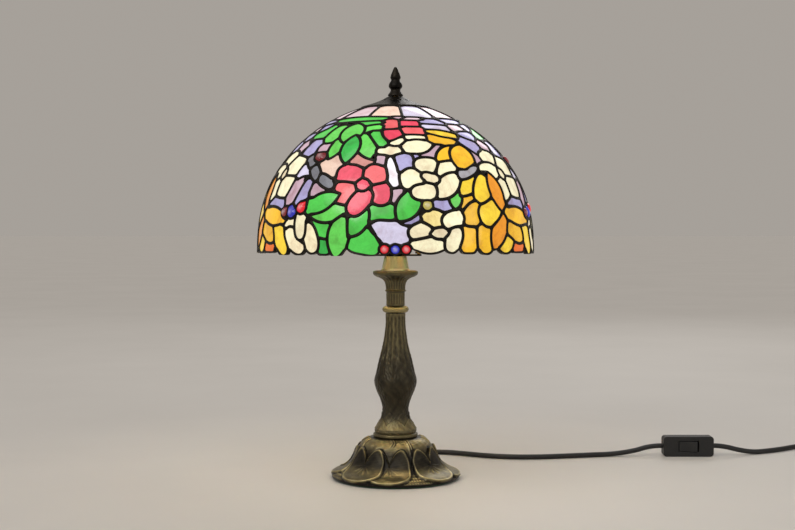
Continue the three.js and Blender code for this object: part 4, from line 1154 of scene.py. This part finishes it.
def pane_distance(pane, azimuth, rise):
    """Distance outside a pane's outline, below nought inside.

    A leaf is the overlap of two circles, and a sector is bounded by two meridians and two parallels. The
    others are ovals whose power makes them round or blocky: their distance is the size less one over its
    slope.
    """
    _, form, middle, up, length, width, tilt = pane
    apart = (azimuth - middle + 180) % 360 - 180
    beside, above = np.radians(apart) * dome_radius(rise), rise - up
    if form == "sector":
        past_side = (np.abs(apart) - CROWN_STEP / 2) * math.pi / 180 * dome_radius(rise)
        return np.maximum(past_side, np.abs(above) - length / 2)
    cosine, sine = math.cos(math.radians(tilt)), math.sin(math.radians(tilt))
    x, y = np.abs(beside * cosine + above * sine), np.abs(above * cosine - beside * sine)
    half_length, half_width = length / 2, width / 2
    if form == "leaf":
        sweep = (half_length ** 2 + half_width ** 2) / (2 * half_width)
        centre = sweep - half_width
        past_tip = x * centre > (y + centre) * half_length
        return np.where(past_tip, np.hypot(x - half_length, y), np.hypot(x, y + centre) - sweep)
    power = {"oval": 2.3, "round": 2.0, "block": 4.0}[form]
    x, y = x / half_length + 1e-9, y / half_width + 1e-9
    size = (x ** power + y ** power) ** (1 / power)
    slope = size ** (1 - power) * np.hypot(x ** (power - 1) / half_length, y ** (power - 1) / half_width)
    return (size - 1) / slope


def open_air(own, rise):
    """Margin to the air: the pane's own outline along the rim, and a clean edge in the crown's opening."""
    margin = np.where(rise < RIM_CUT, -50, 0.8 * np.maximum(rise - 9, 0) - own)
    return np.minimum(margin, CROWN_EDGE - rise)


def margin_to(own, rival, layer, rival_layer):
    """How far inside its share of the dome a point is, against one rival.

    Panes of one layer share the dome where their distances are equal. A pane of a higher layer keeps its
    whole outline, and beyond it takes what the lower one leaves.
    """
    halfway = (rival - own) / 2
    if layer > rival_layer:
        return np.maximum(-own, halfway)
    if layer < rival_layer:
        return np.minimum(rival, halfway)
    return halfway


def all_panes():
    """Every pane of one repeat: its motif, tint and outline."""
    panes = []
    for motif, rows in PANES.items():
        for layer, tint, *outline in rows:
            panes.append((motif, tint, (layer, *outline)))
    for k, tint in enumerate(CROWN_TINTS):
        middle = CROWN_FIRST + CROWN_STEP * k
        panes.append(("crown", tint, (1, "sector", middle, CROWN_MIDDLE, CROWN_LENGTH, CROWN_WIDTH, 0)))
    return panes


def pane_rays(outline):
    """Where the pane's own oval lies from its middle, in millimetres round and up, in every direction."""
    _, form, _, up, length, width, tilt = outline
    turn = np.arange(DIRECTIONS) / DIRECTIONS * FULL_TURN
    if form == "sector":
        length, width = 0.5 * dome_radius(up), length
    cosine, sine = math.cos(math.radians(tilt)), math.sin(math.radians(tilt))
    x, y = np.cos(turn) * length / 2, np.sin(turn) * width / 2
    return np.stack([x * cosine - y * sine, x * sine + y * cosine], -1)


def margin_at(outline, rivals, azimuth, rise):
    """The least of a pane's margins against the air and each of its rivals."""
    own = pane_distance(outline, azimuth, rise)
    margin = open_air(own, rise)
    for rival in rivals:
        apart = pane_distance(rival, azimuth, rise)
        margin = np.minimum(margin, margin_to(own, apart, outline[0], rival[0]))
    return margin


def first_crossing(steps, margin, level):
    """The step at which each ray's margin first falls past the level, or the ray's end if it never does."""
    past = margin < level
    index = np.clip(np.argmax(past, axis=1), 1, None)
    ray = np.arange(len(steps))
    high, low = margin[ray, index - 1], margin[ray, index]
    share = np.clip((high - level) / np.maximum(high - low, 1e-9), 0, 1)
    found = steps[ray, index - 1] + share * (steps[ray, index] - steps[ray, index - 1])
    return np.where(past.any(axis=1), found, steps[:, -1])


def pane_edges(outline, rivals):
    """The pane's roomiest point, and how far its glass edge and its solder line's middle lie from there.

    The roomiest point has the greatest margin, less a little for its distance from the pane's middle. Along
    each ray the least margin falls as the rivals come nearer; the glass stops where it falls to the lead's
    half width, and the lead where it falls just below nought.
    """
    middle, up = outline[2:4]
    way = pane_rays(outline)
    tried = np.vstack([[(0, 0)]] + [way * share for share in (0.15, 0.3, 0.45, 0.6, 0.75)])
    rise = up + tried[:, 1]
    azimuth = middle + np.degrees(tried[:, 0] / dome_radius(rise))
    off_middle = np.hypot(tried[:, 0], tried[:, 1])
    best = int(np.argmax(margin_at(outline, rivals, azimuth, rise) - 0.06 * off_middle))
    centre = azimuth[best], rise[best]
    size = np.hypot(way[:, 0], way[:, 1])
    steps = np.linspace(0, 1, RAY_STEPS)[None, :] * (1 + (RAY_SPARE + off_middle[best]) / size[:, None])
    rise = centre[1] + way[:, 1:] * steps
    azimuth = centre[0] + np.degrees(way[:, :1] * steps / dome_radius(rise))
    margin = margin_at(outline, rivals, azimuth, rise)
    levels = (GLASS_UNDER_LEAD, LEAD_HALF, -LEAD_OVERLAP)
    return centre, way, [first_crossing(steps, margin, level) for level in levels]


def pane_coordinates(centre, way, scale):
    """Azimuth and rise of points at a scale of the pane's own rays."""
    rise = centre[1] + way[:, 1] * scale
    azimuth = centre[0] + np.degrees(way[:, 0] * scale / dome_radius(rise))
    return azimuth, rise


def closed_disc(rows_out, rows_in, middle_out, middle_in):
    """Rings of points, out across the outer face and back across the inner, closed at both middles."""
    rings = np.stack(rows_out + rows_in)
    count, sides = rings.shape[:2]
    points = np.vstack([rings.reshape(-1, 3), [middle_out], [middle_in]])
    quads = ring_faces(count, sides)[:, ::-1]
    column = np.arange(sides)
    beside = (column + 1) % sides
    tip = np.full(sides, count * sides)
    last = (count - 1) * sides
    outer_fan = np.stack([tip, column, beside], -1)
    inner_fan = np.stack([tip + 1, last + beside, last + column], -1)
    return points, [quads, outer_fan, inner_fan]


def pane_glass(centre, way, edge, is_jewel):
    """A pane: a pillowed outer face, a flat inner one and the wall between; a jewel swells into a dome.

    The outer face's height falls from its middle as one less a power of the share of the way to the edge.
    """
    swell = JEWEL_SWELL if is_jewel else PILLOW
    shares = [0.3, 0.55, 0.75, 0.9, 1.0] if is_jewel else [0.5, 0.82, 1.0]
    outer = []
    for share in shares:
        azimuth, rise = pane_coordinates(centre, way, edge * share)
        outer.append(dome_point(azimuth, rise, swell * (1 - share ** 2.2)))
    inner = []
    for share in (1.0, 0.6):
        azimuth, rise = pane_coordinates(centre, way, edge * share)
        inner.append(dome_point(azimuth, rise, -SHEET))
    return closed_disc(outer, inner, dome_point(*centre, swell), dome_point(*centre, -SHEET))


def pane_lead(centre, way, glass_edge, lead_edge):
    """The half of the solder line that frames a pane: a quarter-round bead on each face, closed."""
    rows = []
    for face in ("outer", "inner"):
        shares = np.array([0, 0.12, 0.35, 0.68, 1.0]) if face == "outer" else np.array([1.0, 0.5, 0])
        for share in shares:
            scale = glass_edge + (lead_edge - glass_edge) * share
            azimuth, rise = pane_coordinates(centre, way, scale)
            bead = LEAD_HEIGHT * math.sqrt(1 - (1 - share) ** 2)
            out = bead - 0.1 if face == "outer" else -SHEET - 0.8 * bead + 0.1
            rows.append(dome_point(azimuth, rise, out))
    rings = np.stack(rows)
    return rings.reshape(-1, 3), [ring_faces(len(rows), DIRECTIONS, True)[:, ::-1]]


def lamp_light(points):
    """How brightly the bulb's light is painted onto each point: falling with the distance, but much
    softened.
    """
    distance = np.linalg.norm(points - [0, 0, BULB_HEIGHT], axis=1)
    return (BULB_REFERENCE / distance) ** 0.3


def rivals_of(index, outlines):
    """The outlines near a pane, from its own repeat and from the two beside it."""
    outline = outlines[index]
    rivals = []
    for other, rival in enumerate(outlines):
        for shift in (-REPEAT_ANGLE, 0, REPEAT_ANGLE):
            if other == index and shift == 0:
                continue
            moved = (*rival[:2], rival[2] + shift, *rival[3:])
            apart = math.radians((moved[2] - outline[2] + 180) % 360 - 180)
            around = dome_radius(min(moved[3], outline[3])) * apart
            is_near = math.hypot(around, moved[3] - outline[3]) < NEIGHBOUR_REACH
            if is_near or "sector" in (rival[1], outline[1]):
                rivals.append(moved)
    return rivals


def lit_colours(glass, centre, tint, strength, is_jewel):
    """Each point's colour: the tint with the bulb's light painted on, and a painted glint in a jewel's
    middle.
    """
    colours = np.array(linear(TINTS[tint])) * strength * lamp_light(glass[0])[:, None]
    colours = np.clip(colours, 0, 1.4)
    if is_jewel:
        from_top = np.linalg.norm(glass[0] - dome_point(*centre, JEWEL_SWELL), axis=1)
        glint = JEWEL_GLINT * hill(from_top, GLINT_WIDTH)[:, None]
        colours = colours * (1 - glint) + glint
    return np.hstack([colours, np.ones((len(colours), 1))])


def make_shade():
    """Glass and solder for one repeat, carried round three times, each motif a piece of its own."""
    panes = all_panes()
    outlines = [outline for _, _, outline in panes]
    random = np.random.default_rng(7)
    motifs, seams = {}, []
    for index, (motif, tint, outline) in enumerate(panes):
        is_jewel = motif == "jewels"
        centre, way, (under, glass_edge, lead_edge) = pane_edges(outline, rivals_of(index, outlines))
        glass = pane_glass(centre, way, under, is_jewel)
        colours = lit_colours(glass, centre, tint, random.uniform(0.93, 1.05), is_jewel)
        seeds = np.full(len(colours), random.uniform(0, 40))
        motifs.setdefault(motif, []).append((glass, colours, seeds))
        seams.append(pane_lead(centre, way, glass_edge, lead_edge))
    crown = motifs.pop("crown")
    turns = [math.radians(REPEAT_ANGLE * repeat) for repeat in range(REPEATS)]
    for repeat, turn in enumerate(turns):
        for motif, rows in motifs.items():
            add_glass(f"{motif}_glass_{repeat + 1}", rows, [turn], motif, [f"{motif}_{repeat + 1}"])
        add_piece(f"solder_seams_{repeat + 1}", placed(combined(*seams), turn=turn), SOLDER, "shade")
    add_glass("crown_glass", crown, turns, "crown", ["crown_panes"])
    rise = np.linspace(WEB_LOW, WEB_HIGH, 90)
    web = np.vstack([dome_point(90.0, rise, WEB_OUTSIDE)[:, [0, 2]],
                     dome_point(90.0, rise[::-1], WEB_INSIDE)[:, [0, 2]]])
    add_piece("solder_web", turned(web, 180), SOLDER, "shade")


def add_glass(name, rows, turns, motif, nodes):
    """The panes of one motif as one piece, with each point's tint in painted light and each pane's own seed.
    """
    parts = [placed(glass, turn=turn) for turn in turns for glass, _, _ in rows]
    painted_lit_tints = np.vstack([colours for _ in turns for _, colours, _ in rows])
    seeds = np.concatenate([seed + 3 * k for k, _ in enumerate(turns) for _, _, seed in rows])
    nodes = [] if motif == "jewels" else nodes
    add_piece(name, combined(*parts), GLASS, "shade", nodes,
              {"pane_tint_in_painted_light": painted_lit_tints, "pane_seed": seeds})


# ---- studio -------------------------------------------------------------------------------------------

FLOOR_REACH = 30000.0  # far enough for the floor's edge to lie at the horizon
SURROUND, SURROUND_STRENGTH = (0.95, 0.918, 0.88), 0.43
DAYLIGHT = 0.98


def add_area_light(name, place, aim, size, power, colour=(1, 1, 1)):
    """A round soft light at a place, its face turned to the aim."""
    data = bpy.data.lights.new(name, "AREA")
    data.shape = "DISK"
    data.size = size
    data.energy = power
    data.color = colour
    light = bpy.data.objects.new(name, data)
    light.location = place
    away = np.array(place, float) - np.array(aim, float)
    across = math.hypot(away[0], away[1])
    light.rotation_euler = (math.atan2(across, away[2]), 0, math.atan2(away[0], -away[1]))
    bpy.context.scene.collection.objects.link(light)


def make_floor():
    """A wide pale floor, clouded so faintly that it looks even."""
    material, tree, shader = new_material("pale_floor", Roughness=0.55)
    colour = ramp(tree, noise(tree, 3, 3.0), [(0.3, (0.80, 0.785, 0.765)), (0.7, (0.82, 0.805, 0.785))])
    tree.links.new(colour, shader.inputs["Base Color"])
    reach = FLOOR_REACH
    corners = np.array([(-reach, -reach, 0), (reach, -reach, 0), (reach, reach, 0), (-reach, reach, 0)])
    floor = bpy.data.objects.new("floor", new_mesh("floor", (corners, [np.array([[0, 1, 2, 3]])]), material))
    bpy.context.scene.collection.objects.link(floor)


def make_studio():
    """A pale floor, an even pale surround, broad daylight from above and three large soft lights."""
    bpy.context.scene.view_settings.view_transform = "Standard"
    make_floor()
    world = bpy.data.worlds.new("surround")
    world.use_nodes = True
    background = world.node_tree.nodes["Background"]
    background.inputs["Color"].default_value = opaque(SURROUND)
    background.inputs["Strength"].default_value = SURROUND_STRENGTH
    bpy.context.scene.world = world
    sun = bpy.data.lights.new("even_daylight", "SUN")
    sun.energy = DAYLIGHT
    sun.angle = math.radians(70)
    high = bpy.data.objects.new("even_daylight", sun)
    high.rotation_euler = (math.radians(38), 0, math.radians(-30))
    bpy.context.scene.collection.objects.link(high)
    target = (0, 0, 0.2)
    add_area_light("key", (-1.3, -1.7, 1.7), target, 1.2, 9, (1.0, 0.97, 0.93))
    add_area_light("fill", (1.8, -1.2, 0.9), target, 1.4, 4, (0.95, 0.97, 1.0))
    add_area_light("back", (0.6, 1.9, 1.5), target, 1.2, 6)


def main():
    """The whole lamp, with its cords laid between the pieces that they run through, and the studio."""
    make_camera()
    grommet, fittings = make_cord_fittings()
    switch = make_switch()
    make_cord("cord_foot_to_switch", TO_SWITCH, ["cord_to_switch"],
              JACKET)
    make_cord("cord_switch_to_plug", TO_COIL + coil_points() + PLUG_TAIL,
              ["cord_to_coil", "cord_coil"], JACKET)
    make_foot()
    make_castings()
    make_turned_pieces()
    make_inner_metal()
    make_harp()
    make_bulb()
    make_shade()
    for node, material in (("inner_flex", JACKET), ("switch_screw", STEEL)):
        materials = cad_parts[node].data.materials
        materials.clear()
        materials.append(material)
    make_studio()


main()
